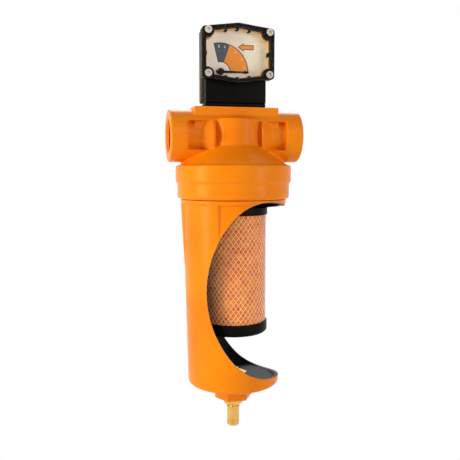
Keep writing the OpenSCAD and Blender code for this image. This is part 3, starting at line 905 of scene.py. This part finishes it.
def make_bowl(sizes, colours):
    """The bowl: ribbed and lipped outside, lined inside, and cut away at the front right."""
    materials = [coat(colours), kept(dark_lining, "epoxy_lining")]
    bowl = lathe("bowl_shell", bowl_profile(), 720, ribbed(sizes))
    cutter = upright_prism("cutter", cut_outline(), -60 * MM, 120 * MM)
    cutter.data.transform(Matrix.Rotation(-CUT_TILT, 4, "X"))
    cutter.data.transform(Matrix.Translation(CUT_MIDDLE))
    cutter.data.transform(Matrix.Rotation(CUT_TURN, 4, "Z"))
    for item in (bowl, cutter):
        for material in materials:
            item.data.materials.append(material)
    for face in bowl.data.polygons:
        centre = face.center
        reach = math.hypot(centre.x, centre.y)
        inside = reach < inner_radius(centre.z) + 0.4 * MM and centre.z > FLOOR_Z - 0.1 * MM
        face.material_index = 1 if inside else 0
    for face in cutter.data.polygons:
        face.material_index = 1
    carve(bowl, cutter)
    whole = joined("bowl_shell", [bowl, make_boss()])
    finish_piece(whole, materials, "bowl", "powder_coat", "bowl", angle=40)


# ---------------------------------------------------------------- filter element


def jacket(tree, inputs):
    """Two families of strands that wind opposite ways and cross."""
    families = []
    for way in (1.0, -1.0):
        turn = math_of(tree, "MULTIPLY", inputs["Twist"], way)
        curve = helix_curve(tree, inputs["Radius"], turn, inputs["Length"], inputs["Start"], inputs["Points"])
        wire = swept(tree, curve, inputs["Strand"], 5)
        families.append(round_the_axis(tree, wire, inputs["Strands"]))
    return both(tree, *families)


def make_jacket(sizes, colours):
    """The expanded metal jacket round the felt."""
    margin = 0.4 * MM
    steel = kept(expanded_steel, "expanded_stainless_steel")
    values = {
        "Radius": JACKET_HIGH[0] - sizes.strand / 2,
        "Length": JACKET_HIGH[2] - JACKET_LOW[2] - 2 * margin,
        "Start": JACKET_LOW[2] + margin,
        "Twist": sizes.strand_twist,
        "Strand": sizes.strand / 2,
        "Strands": sizes.strand_count,
        "Points": 42,
    }
    item = grown("expanded_jacket", jacket, values, steel)
    finish_piece(item, [steel], "element", "mesh_steel", "element_mesh", angle=60)


def make_caps(sizes, colours):
    """The black end caps, glued to the element; the top one has the socket that fits the head."""
    socket_r = 16.3 * MM
    tube_r = 20.8 * MM
    plate = 7.4 * MM
    chamfer = 2 * MM
    edge = 0.9 * MM
    low, high, wide = TOP_CAP_LOW[2], TOP_CAP_HIGH[2], TOP_CAP_HIGH[0]
    shelf = low + plate
    top = [(socket_r, low), (wide, low), (wide, shelf), (tube_r, shelf), (tube_r, high), (socket_r, high)]
    low, high, wide = LOW_CAP_LOW[2], LOW_CAP_HIGH[2], LOW_CAP_HIGH[0]
    bottom = [(0, low), (wide - chamfer, low), (wide, low + chamfer), (wide, high), (0, high)]
    for name, profile, node in (("top_cap", top, "element_top_cap"), ("bottom_cap", bottom, "element_bottom_cap")):
        cap = lathe(name, rounded(profile, edge), 128)
        finish_piece(cap, [cap_black()], "element", "cap_plastic", node, angle=40)


# ---------------------------------------------------------------- gauge


def make_gauge_body(sizes, colours):
    """The gauge's body: foot plate, block with a wider rear flange, and back cover."""
    flange_y = 4 * MM
    overlap = 2 * MM
    step_up = 1.5 * MM
    narrow = (PLATE_HIGH[0] - PLATE_LOW[0]) / 2
    front_low = (-narrow, BLOCK_LOW[1], BLOCK_LOW[2])
    front_high = (narrow, flange_y + overlap, BLOCK_HIGH[2])
    flange_low = (BLOCK_LOW[0], flange_y, BLOCK_LOW[2] + step_up)
    boxes = (
        ("gauge_foot", PLATE_LOW, PLATE_HIGH, 0.8 * MM, block_black, ["gauge_plate"]),
        ("gauge_front", front_low, front_high, 1.0 * MM, block_black, ["gauge_block"]),
        # The flange's grey is painted sheen for the lit sides of the black block.
        ("gauge_flange", flange_low, BLOCK_HIGH, 1.2 * MM, flange_lit_grey, []),
        ("back_cover", COVER_LOW, COVER_HIGH, 0.5 * MM, block_black, ["gauge_back_cover"]),
    )
    for name, low, high, edge, material, nodes in boxes:
        finish_piece(rounded_box(name, low, high, edge), [material()], "root", "gauge_black", *nodes)


def make_bezel(sizes, colours):
    """The black bezel with its scalloped opening, and the pale notched strip inside it."""
    corner = 1.5 * MM
    hair = 0.02 * MM
    wall = 1.0 * MM
    inset = sizes.bezel_width + 2.0 * MM
    front, back = BEZEL_LOW[1], BEZEL_HIGH[1]
    rim = window_plate("gauge_bezel_rim", 2.3 * MM, 2 * MM, front, back, 0.5 * MM)
    carve(rim, scalloped("opening", inset, corner, front - MM, back + MM, SCALLOP_R))
    finish_piece(rim, [bezel_black()], "root", "bezel_black", "gauge_bezel")
    deep = DIAL_FRONT - 4.5 * MM
    strip = scalloped("trim_strip", inset + hair, corner, deep, DIAL_FRONT, SCALLOP_R + hair)
    inner_corner = 1.2 * MM
    carve(strip, scalloped("inner", inset + wall, inner_corner, deep - MM, DIAL_FRONT + MM, SCALLOP_R + wall))
    trim = kept(moulded_plastic, "ivory_abs", "#E9B78C", "#F6D3AE", 0.4, 1.0)
    finish_piece(strip, [trim], "root", "dial_face")
    half_h = WINDOW_HALF[1] - inset
    spots = []
    for x in (-11 * MM, 0.0, 11 * MM):
        z = half_h + WINDOW_PEAK * (1 - abs(x) / WINDOW_HALF[0]) - 0.9 * MM
        spots += [(x, way * z, 1.3 * MM, 1.2 * MM) for way in (-1, 1)]
    spots += [(way * (WINDOW_HALF[0] - inset - 0.6 * MM), 0.0, 0.9 * MM, 2 * MM) for way in (-1, 1)]
    notches = []
    for x, z, half_x, half_z in spots:
        low = (x - half_x, deep - 0.3 * MM, GAUGE_Z + z - half_z)
        high = (x + half_x, DIAL_FRONT, GAUGE_Z + z + half_z)
        notches.append(rounded_box("notch", low, high, 0.2 * MM))
    finish_piece(joined("trim_clips", notches), [bezel_black()], "root", "bezel_black")


def make_cover(sizes, colours):
    """The clear cover, and the black frame behind its edge that stands round the bezel."""
    skin = 1.8 * MM
    gap = 0.05 * MM
    corner = 3 * MM
    front, back = LENS_LOW[1], LENS_HIGH[1]
    clear = window_plate("clear_cover", 0, corner, front, front + skin, 0.7 * MM)
    finish_piece(clear, [kept(clear_cover, "clear_polycarbonate")], "root", "clear_cover", "gauge_lens")
    frame_front = front + skin + gap
    rim = window_plate("cover_frame", 0.1 * MM, corner, frame_front, back, 0.4 * MM, 2)
    carve(rim, window_plate("opening", 2 * MM, 2 * MM, frame_front - MM, back + MM))
    finish_piece(rim, [bezel_black()], "root", "bezel_black")


def printed(name, outline, depth, material, middle=PIVOT):
    """One printed area, which stands a hair in front of the dial."""
    item = upright_prism(name, outline, DIAL_FRONT - depth, DIAL_FRONT, middle=middle)
    return finish_piece(item, [material], "root", "dial_face")


def scaled(outline):
    """An outline given in millimetres."""
    return [(x * MM, z * MM) for x, z in outline]


def field_outlines():
    """The dark lines round the two fields of the dial."""
    front = DIAL_FRONT - OVERPRINT
    half_arc = 0.35 * MM
    half_bar = 0.3 * MM
    lines = []
    for reach in (FIELD_NEAR, FIELD_FAR):
        arc = sector_outline(reach - half_arc, reach + half_arc, -1, FIELD_END + 1)
        lines.append(upright_prism("line", arc, front, DIAL_FRONT))
    bar = [(FIELD_NEAR, -half_bar), (FIELD_FAR, -half_bar), (FIELD_FAR, half_bar), (FIELD_NEAR, half_bar)]
    for angle in (0, FIELD_END):
        line = upright_prism("line", bar, front, DIAL_FRONT)
        lines.append(turn_to(line, Matrix.Rotation(math.radians(-angle), 4, "Y")))
    for item in lines:
        turn_to(item, Matrix.Translation((PIVOT[0], 0, PIVOT[1])))
    return joined("field_lines", lines)


def raised_number(text, angle, size):
    """One number of the dial, printed near the fields' outer edge."""
    curve = bpy.data.curves.new("number", "FONT")
    curve.body = text
    curve.size = size
    curve.align_x = "CENTER"
    curve.align_y = "CENTER"
    curve.extrude = 0.04 * MM
    source = new_object("number_curve", curve)
    graph = bpy.context.evaluated_depsgraph_get()
    mesh = bpy.data.meshes.new_from_object(source.evaluated_get(graph))
    bpy.data.objects.remove(source)
    turn = math.radians(angle)
    reach = FIELD_FAR - 3.2 * MM
    spot = (PIVOT[0] + reach * math.cos(turn), DIAL_FRONT - 0.16 * MM, PIVOT[1] + reach * math.sin(turn))
    number = new_object("number", outwards(mesh))
    return turn_to(number, Matrix.Translation(spot) @ Matrix.Rotation(QUARTER, 4, "X"))


def make_dial(sizes, colours):
    """The dial plate with its two fields, their outline, the arrow and the numbers."""
    plate = scalloped("dial_foil", 4.1 * MM, 1.5 * MM, DIAL_LOW[1], DIAL_HIGH[1], SCALLOP_R + 0.1 * MM)
    foil = kept(dial_foil, "brushed_aluminium_dial", rgba(colours.dial))
    finish_piece(plate, [foil], "root", "dial_face", "dial_plate")
    navy = kept(dial_ink, "navy_dial_ink", "#26384C", "#34495F")
    orange = kept(dial_ink, "orange_dial_ink", "#EF8A18", "#F69A2B")
    black = kept(dial_ink, "black_dial_ink", "#0E0E10", "#18181B")
    pale = kept(dial_ink, "white_dial_ink", "#E8E2DC", "#F5F1EC")
    printed("field_navy", sector_outline(FIELD_NEAR, FIELD_FAR, FIELD_SPLIT, FIELD_END), PRINT, navy)
    printed("field_orange", sector_outline(FIELD_NEAR, FIELD_FAR, 0, FIELD_SPLIT), PRINT, orange)
    finish_piece(field_outlines(), [black], "root", "dial_face")
    place = (1.2 * MM, GAUGE_Z + 6.8 * MM)
    printed("arrow_edge", scaled(ARROW_EDGE), PRINT, navy, place)
    printed("arrow", scaled(ARROW_FILL), OVERPRINT, orange, place)
    numbers = [raised_number(text, angle, sizes.number_size) for text, angle in NUMBER_ANGLES]
    finish_piece(joined("dial_numbers", numbers), [pale], "root", "dial_face")


def make_needle(sizes, colours):
    """The black needle: a blade with a paddle near its tip, and a domed hub."""
    black = kept(moulded_plastic, "black_anodised_aluminium", "#060606", "#101010", 0.32, 1.0)
    back = NEEDLE_HIGH[1]
    blade = upright_prism("blade", scaled(BLADE), back - 0.8 * MM, back, middle=PIVOT)
    hub = upright_prism("hub", circle_outline(3.1 * MM, 64), NEEDLE_LOW[1], back, 0.8 * MM, 4, PIVOT)
    finish_piece(joined("pointer", [blade, hub]), [black], "needle", "needle_black", "needle")


def screw_set(tree, inputs):
    """Four hexagon socket screws at the corners of a rectangle, heads up."""
    height = inputs["Head height"]
    head, socket = (
        put(tree, "GeometryNodeMeshCylinder", {"Vertices": sides, "Radius": inputs[radius], "Depth": height})
        for sides, radius in ((40, "Head radius"), (6, "Socket radius"))
    )
    up = put(tree, "ShaderNodeCombineXYZ", {"Z": math_of(tree, "MULTIPLY", height, 0.45)}).outputs[0]
    raised = put(tree, "GeometryNodeTransform", {"Geometry": socket.outputs["Mesh"], "Translation": up}).outputs[0]
    solids = {"Mesh 1": head.outputs["Mesh"], "Mesh 2": raised}
    cut = put(tree, "GeometryNodeMeshBoolean", solids, operation="DIFFERENCE")
    corners = {"Size X": inputs["Across"], "Size Y": inputs["Up"], "Vertices X": 2, "Vertices Y": 2}
    grid = put(tree, "GeometryNodeMeshGrid", corners).outputs["Mesh"]
    copies = put(tree, "GeometryNodeInstanceOnPoints", {"Points": grid, "Instance": cut.outputs["Mesh"]})
    return copies.outputs[0]


def make_screw_set(name, head, socket_r, spread, face, way, middle_z, nodes):
    """Four screws with (radius, height) heads, whose faces lie at y = face and look backwards if way is -1."""
    steel = kept(plated_steel, "zinc_plated_steel")
    values = {
        "Head radius": head[0],
        "Head height": head[1],
        "Socket radius": socket_r,
        "Across": spread[0],
        "Up": spread[1],
    }
    item = grown(name, screw_set, values, steel)
    place = Matrix.Translation((0, face + way * head[1] / 2, middle_z))
    turn_to(item, place @ Matrix.Rotation(way * QUARTER, 4, "X"))
    finish_piece(item, [steel], "root", "screw_steel", *nodes)


def make_screws(sizes, colours):
    """The four lens screws and the four screws of the back cover."""
    head = (LENS_SCREW_HIGH[0] - SCREW_HALF[0], 2.2 * MM)
    spread = (2 * SCREW_HALF[0], 2 * SCREW_HALF[1])
    nodes = ["lens_screw_nw", "lens_screw_ne", "lens_screw_sw", "lens_screw_se"]
    make_screw_set("lens_screws", head, 1.45 * MM, spread, LENS_SCREW_LOW[1], 1, GAUGE_Z, nodes)
    head = (2.8 * MM, 1.6 * MM)
    low, high = COVER_SCREW_LOW, COVER_SCREW_HIGH
    spread = (high[0] - low[0] - 2 * head[0], high[2] - low[2] - 2 * head[0])
    middle = (high[2] + low[2]) / 2
    make_screw_set("rear_screws", head, 1.2 * MM, spread, high[1], -1, middle, ["cover_screws"])


def spring_wire(tree, inputs):
    """A round wire wound into a spring."""
    turn = math_of(tree, "MULTIPLY", inputs["Turns"], TAU)
    curve = helix_curve(tree, inputs["Radius"], turn, inputs["Length"], inputs["Start"], inputs["Points"])
    return swept(tree, curve, inputs["Wire"], 8)


def make_spring(sizes, colours):
    """The spring above the gauge's piston, which shortens as the piston rises."""
    low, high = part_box("dp_spring")
    wire = 0.4 * MM
    steel = kept(plated_steel, "zinc_plated_steel")
    values = {
        "Turns": 6.0,
        "Radius": (high[0] - low[0]) / 2 - wire,
        "Length": high[2] - low[2] - 2 * wire,
        "Start": low[2] + wire,
        "Points": 145,
        "Wire": wire,
    }
    spring = grown("piston_spring", spring_wire, values, steel)
    middle = ((high[0] + low[0]) / 2, (high[1] + low[1]) / 2, 0)
    turn_to(spring, Matrix.Translation(middle))
    finish_piece(spring, [steel], "root", "screw_steel", "dp_spring", angle=60)
    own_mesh(spring)


# ---------------------------------------------------------------- drain


def make_drain(sizes, colours):
    """The brass drain: a chamfered collar fixed in the bowl, and the tube that turns below it."""
    low, high, wide = DRAIN_LOW[2], DRAIN_HIGH[2], DRAIN_HIGH[0]
    top = low + 5.5 * MM
    bore = 4.55 * MM
    shank = 8 * MM
    step = 35.3 * MM
    narrow = 2.5 * MM
    foot_chamfer = 1.2 * MM
    top_chamfer = 0.6 * MM
    body = [(bore, low), (wide - foot_chamfer, low), (wide, low + foot_chamfer), (wide, top - top_chamfer)]
    body += [(wide - top_chamfer, top), (shank, top), (shank, high), (narrow, high), (narrow, step), (bore, step)]
    collar = lathe("drain_collar", body, 96)
    finish_piece(collar, [brass()], "bowl", "drain_brass", "drain_body", angle=25)
    low, high = STEM_LOW[2], STEM_HIGH[2]
    rim_z = low + 17.5 * MM
    shoulder = low + 19.7 * MM
    tube_r = 6 * MM
    stem_r = 4.5 * MM
    groove_r = 3.45 * MM
    hole_r = 3 * MM
    profile = [(hole_r, low), (tube_r - 1 * MM, low), (tube_r, low + 1 * MM)]
    for k in range(sizes.tube_rings):
        z = low + (2.2 + 1.3 * k) * MM
        profile += [(tube_r - depth * MM, z + rise * MM) for depth, rise in RING_CUT]
    profile += [(tube_r, rim_z), (STEM_HIGH[0], rim_z + 0.3 * MM), (STEM_HIGH[0], shoulder)]
    profile += [(stem_r, shoulder), (stem_r, high - 4 * MM), (groove_r, high - 4 * MM)]
    profile += [(groove_r, high - 2 * MM), (stem_r, high - 2 * MM), (stem_r, high), (hole_r, high)]
    tube = lathe("drain_tube", profile, 96)
    finish_piece(tube, [brass()], "drain_stem", "drain_brass", "drain_stem", angle=25)


# ---------------------------------------------------------------- parts shown as built

SHOWN = {
    "element_sleeve": "felt",
    "element_pleats": "paper",
    "element_core": "steel",
    "element_oring": "rubber",
    "bowl_oring": "rubber",
    "stud_orings": "rubber",
    "stem_oring": "rubber",
    "gauge_gasket": "rubber",
    "drain_gasket": "rubber",
    "valve_seal": "rubber",
    "needle_axle": "blackened",
    "dp_piston": "aluminium",
    "dp_magnet": "magnet",
    "dp_plug": "brass",
    "gauge_stud_in": "steel",
    "gauge_stud_out": "steel",
    "drain_nut": "brass",
    "valve_pin": "brass",
}


def make_shown(sizes, colours):
    """Gives the parts that are shown as they were built their materials."""
    finishes = {
        "felt": kept(dyed_felt, "needled_polyester_felt", rgba(colours.felt), "#FFAE1C"),
        "paper": kept(glass_fibre, "glass_fibre_paper"),
        "steel": kept(plated_steel, "zinc_plated_steel"),
        "rubber": kept(nitrile_rubber, "nitrile_rubber"),
        "blackened": kept(moulded_plastic, "blackened_steel", "#0B0B0C", "#161617", 0.35),
        "aluminium": kept(turned_aluminium, "anodised_aluminium"),
        "magnet": kept(moulded_plastic, "sintered_ferrite", "#2B2C2E", "#3A3B3D", 0.6),
        "brass": brass(),
    }
    for name, finish in SHOWN.items():
        node = frame["nodes"][name]
        node.data.materials.clear()
        node.data.materials.append(finishes[finish])


# ---------------------------------------------------------------- stage


def make_world():
    """A white surround: full white to the camera and in reflections, and dimmer as light on the object."""
    world = bpy.data.worlds.new("studio")
    bpy.context.scene.world = world
    world.use_nodes = True
    tree = world.node_tree
    tree.nodes.clear()
    strength = level_of(tree, seen_rays(tree), SURROUND_LIGHT, 1.0)
    back = put(tree, "ShaderNodeBackground", {"Color": (1, 1, 1, 1), "Strength": strength})
    put(tree, "ShaderNodeOutputWorld", {"Surface": back.outputs[0]})


def add_lamp(name, place, size, power, colour):
    """A soft lamp that faces the middle of the filter."""
    data = bpy.data.lights.new(name, "AREA")
    data.shape = "RECTANGLE"
    data.size, data.size_y = size
    data.energy = power
    data.color = linear(colour)[:3]
    lamp = bpy.data.objects.new(name, data)
    lamp.location = place
    lamp.rotation_euler = (Vector(LAMP_AIM) - Vector(place)).to_track_quat("-Z", "Y").to_euler()
    bpy.context.scene.collection.objects.link(lamp)


def make_camera():
    """The camera, level with the head and a little to the left."""
    data = bpy.data.cameras.new("camera")
    data.lens = 48.73
    data.sensor_width = 36
    data.clip_start = 0.01
    camera = bpy.data.objects.new("camera", data)
    back = Vector((math.sin(VIEW_YAW), -math.cos(VIEW_YAW), 0))
    right = Vector((math.cos(VIEW_YAW), math.sin(VIEW_YAW), 0))
    camera.location = back * VIEW_DISTANCE - right * VIEW_SHIFT + Vector((0, 0, VIEW_HEIGHT))
    camera.rotation_euler = (QUARTER - VIEW_DOWN, 0, VIEW_YAW)
    bpy.context.scene.collection.objects.link(camera)
    bpy.context.scene.camera = camera


def make_stage(sizes, colours):
    """A white floor and surround, four soft lamps and the camera."""
    reach = 3.0
    below = -0.5 * MM
    corners = [(-reach, -reach, below), (reach, -reach, below), (reach, reach, below), (-reach, reach, below)]
    floor = new_object("floor", mesh_of("floor", corners, [(0, 1, 2, 3)]))
    floor.data.materials.append(plain_stage("matt_white_paper", "#FFFFFF"))
    make_world()
    for name, place, size, share, colour in LAMPS:
        add_lamp(name, place, size, sizes.key_power * share, colour)
    make_camera()
    bpy.context.scene.view_settings.view_transform = "Standard"


# ---------------------------------------------------------------- add-on


def length(name, description, millimetres, low, high):
    """A length property given in millimetres."""
    return bpy.props.FloatProperty(
        name=name,
        description=description,
        default=millimetres * MM,
        min=low * MM,
        max=high * MM,
        precision=5,
        subtype="DISTANCE",
        unit="LENGTH",
    )


def colour(name, description, text):
    """A colour property given as sRGB hex."""
    return bpy.props.FloatVectorProperty(
        name=name, description=description, default=linear(text)[:3], size=3, min=0, max=1, subtype="COLOR"
    )


class AirFilterSizes(bpy.types.PropertyGroup):
    """Sizes of the details that the looks add"""

    casting_grain: length("Casting softness", "How coarse the skin of the cast head is", 1.0, 0.7, 2)
    thread_pitch: length("Thread pitch", "Pitch of the pipe thread in both ports", 2.309, 1, 4)
    rib_width: length("Rib width", "Width of the ribs under the bowl's lip", 10.4, 7, 14)
    rib_edge: length("Rib edge", "Width of the soft edge beside each rib", 1.6, 0.5, 3)
    rib_count: bpy.props.IntProperty(name="Ribs", description="Ribs under the bowl's lip", default=6, min=4, max=8)
    strand: length("Strand thickness", "Thickness of the jacket's metal strands", 0.52, 0.4, 0.8)
    strand_count: bpy.props.IntProperty(
        name="Strands", description="Strands that wind each way round the jacket", default=42, min=12, max=80
    )
    strand_twist: bpy.props.FloatProperty(
        name="Strand twist",
        description="How far a strand winds round the jacket from end to end",
        default=2.43,
        min=0.5,
        max=6,
        subtype="ANGLE",
        unit="ROTATION",
    )
    bezel_width: length("Bezel width", "Width of the black edge round the dial", 2.0, 1.5, 4)
    number_size: length("Number size", "Height of the numbers on the dial", 3.4, 2, 6)
    tube_rings: bpy.props.IntProperty(
        name="Tube rings", description="Grooves near the tube's end", default=4, min=0, max=8
    )
    key_power: bpy.props.FloatProperty(
        name="Key lamp", description="Power of the lamp on the left", default=8.8, min=0, max=100, unit="POWER"
    )


class AirFilterColours(bpy.types.PropertyGroup):
    """Colours of the main finishes"""

    powder_coat: colour("Powder coat", "Paint on the head and the bowl", "#F08C0A")
    felt: colour("Felt", "Dyed felt under the jacket", "#E8340E")
    dial: colour("Dial", "Lacquer on the dial", "#FBF6F4")


def run(make, context):
    """Makes a group of pieces from the scene's settings."""
    make(context.scene.air_filter_sizes, context.scene.air_filter_colours)
    return {"FINISHED"}


class AIRFILTER_OT_head(bpy.types.Operator):
    """Makes the cast head"""

    bl_idname = "air_filter.head"
    bl_label = "Head casting"

    def execute(self, context):
        return run(make_head, context)


class AIRFILTER_OT_port_threads(bpy.types.Operator):
    """Makes the pipe threads in both ports"""

    bl_idname = "air_filter.port_threads"
    bl_label = "Port threads"

    def execute(self, context):
        return run(make_port_threads, context)


class AIRFILTER_OT_bowl(bpy.types.Operator):
    """Makes the ribbed bowl with its cut-away"""

    bl_idname = "air_filter.bowl"
    bl_label = "Bowl"

    def execute(self, context):
        return run(make_bowl, context)


class AIRFILTER_OT_jacket(bpy.types.Operator):
    """Makes the expanded metal jacket of the element"""

    bl_idname = "air_filter.jacket"
    bl_label = "Metal jacket"

    def execute(self, context):
        return run(make_jacket, context)


class AIRFILTER_OT_caps(bpy.types.Operator):
    """Makes the element's two end caps"""

    bl_idname = "air_filter.caps"
    bl_label = "End caps"

    def execute(self, context):
        return run(make_caps, context)


class AIRFILTER_OT_gauge_body(bpy.types.Operator):
    """Makes the gauge's foot, block, flange and back cover"""

    bl_idname = "air_filter.gauge_body"
    bl_label = "Gauge body"

    def execute(self, context):
        return run(make_gauge_body, context)


class AIRFILTER_OT_bezel(bpy.types.Operator):
    """Makes the bezel, its pale strip and its clips"""

    bl_idname = "air_filter.bezel"
    bl_label = "Bezel"

    def execute(self, context):
        return run(make_bezel, context)


class AIRFILTER_OT_cover(bpy.types.Operator):
    """Makes the clear cover and its black frame"""

    bl_idname = "air_filter.cover"
    bl_label = "Clear cover"

    def execute(self, context):
        return run(make_cover, context)


class AIRFILTER_OT_dial(bpy.types.Operator):
    """Makes the dial plate and its print"""

    bl_idname = "air_filter.dial"
    bl_label = "Dial"

    def execute(self, context):
        return run(make_dial, context)


class AIRFILTER_OT_needle(bpy.types.Operator):
    """Makes the needle"""

    bl_idname = "air_filter.needle"
    bl_label = "Needle"

    def execute(self, context):
        return run(make_needle, context)


class AIRFILTER_OT_screws(bpy.types.Operator):
    """Makes the gauge's front and rear screws"""

    bl_idname = "air_filter.screws"
    bl_label = "Screws"

    def execute(self, context):
        return run(make_screws, context)


class AIRFILTER_OT_spring(bpy.types.Operator):
    """Makes the spring above the gauge's piston"""

    bl_idname = "air_filter.spring"
    bl_label = "Piston spring"

    def execute(self, context):
        return run(make_spring, context)


class AIRFILTER_OT_drain(bpy.types.Operator):
    """Makes the brass drain collar and tube"""

    bl_idname = "air_filter.drain"
    bl_label = "Drain"

    def execute(self, context):
        return run(make_drain, context)


class AIRFILTER_OT_shown(bpy.types.Operator):
    """Finishes the parts that are shown as they were built"""

    bl_idname = "air_filter.shown"
    bl_label = "Inner parts"

    def execute(self, context):
        return run(make_shown, context)


class AIRFILTER_OT_stage(bpy.types.Operator):
    """Makes the floor, the surround, the lamps and the camera"""

    bl_idname = "air_filter.stage"
    bl_label = "Stage"

    def execute(self, context):
        return run(make_stage, context)


STEPS = (
    AIRFILTER_OT_head,
    AIRFILTER_OT_port_threads,
    AIRFILTER_OT_bowl,
    AIRFILTER_OT_jacket,
    AIRFILTER_OT_caps,
    AIRFILTER_OT_gauge_body,
    AIRFILTER_OT_bezel,
    AIRFILTER_OT_cover,
    AIRFILTER_OT_dial,
    AIRFILTER_OT_needle,
    AIRFILTER_OT_screws,
    AIRFILTER_OT_spring,
    AIRFILTER_OT_drain,
    AIRFILTER_OT_shown,
    AIRFILTER_OT_stage,
)


class AIRFILTER_PT_panel(bpy.types.Panel):
    """Lists the settings and the pieces"""

    bl_label = "Air Filter"
    bl_idname = "AIRFILTER_PT_panel"
    bl_space_type = "VIEW_3D"
    bl_region_type = "UI"
    bl_category = "Air Filter"

    def draw(self, context):
        for group in (context.scene.air_filter_sizes, context.scene.air_filter_colours):
            column = self.layout.column()
            for name in group.__annotations__:
                column.prop(group, name)
        for step in STEPS:
            self.layout.operator(step.bl_idname)


CLASSES = (AirFilterSizes, AirFilterColours, *STEPS, AIRFILTER_PT_panel)


def register():
    for item in CLASSES:
        bpy.utils.register_class(item)
    bpy.types.Scene.air_filter_sizes = bpy.props.PointerProperty(type=AirFilterSizes)
    bpy.types.Scene.air_filter_colours = bpy.props.PointerProperty(type=AirFilterColours)


def unregister():
    del bpy.types.Scene.air_filter_colours
    del bpy.types.Scene.air_filter_sizes
    for item in reversed(CLASSES):
        bpy.utils.unregister_class(item)


def main():
    register()
    for step in STEPS:
        group, name = step.bl_idname.split(".")
        getattr(getattr(bpy.ops, group), name)()


if __name__ == "__main__":
    main()
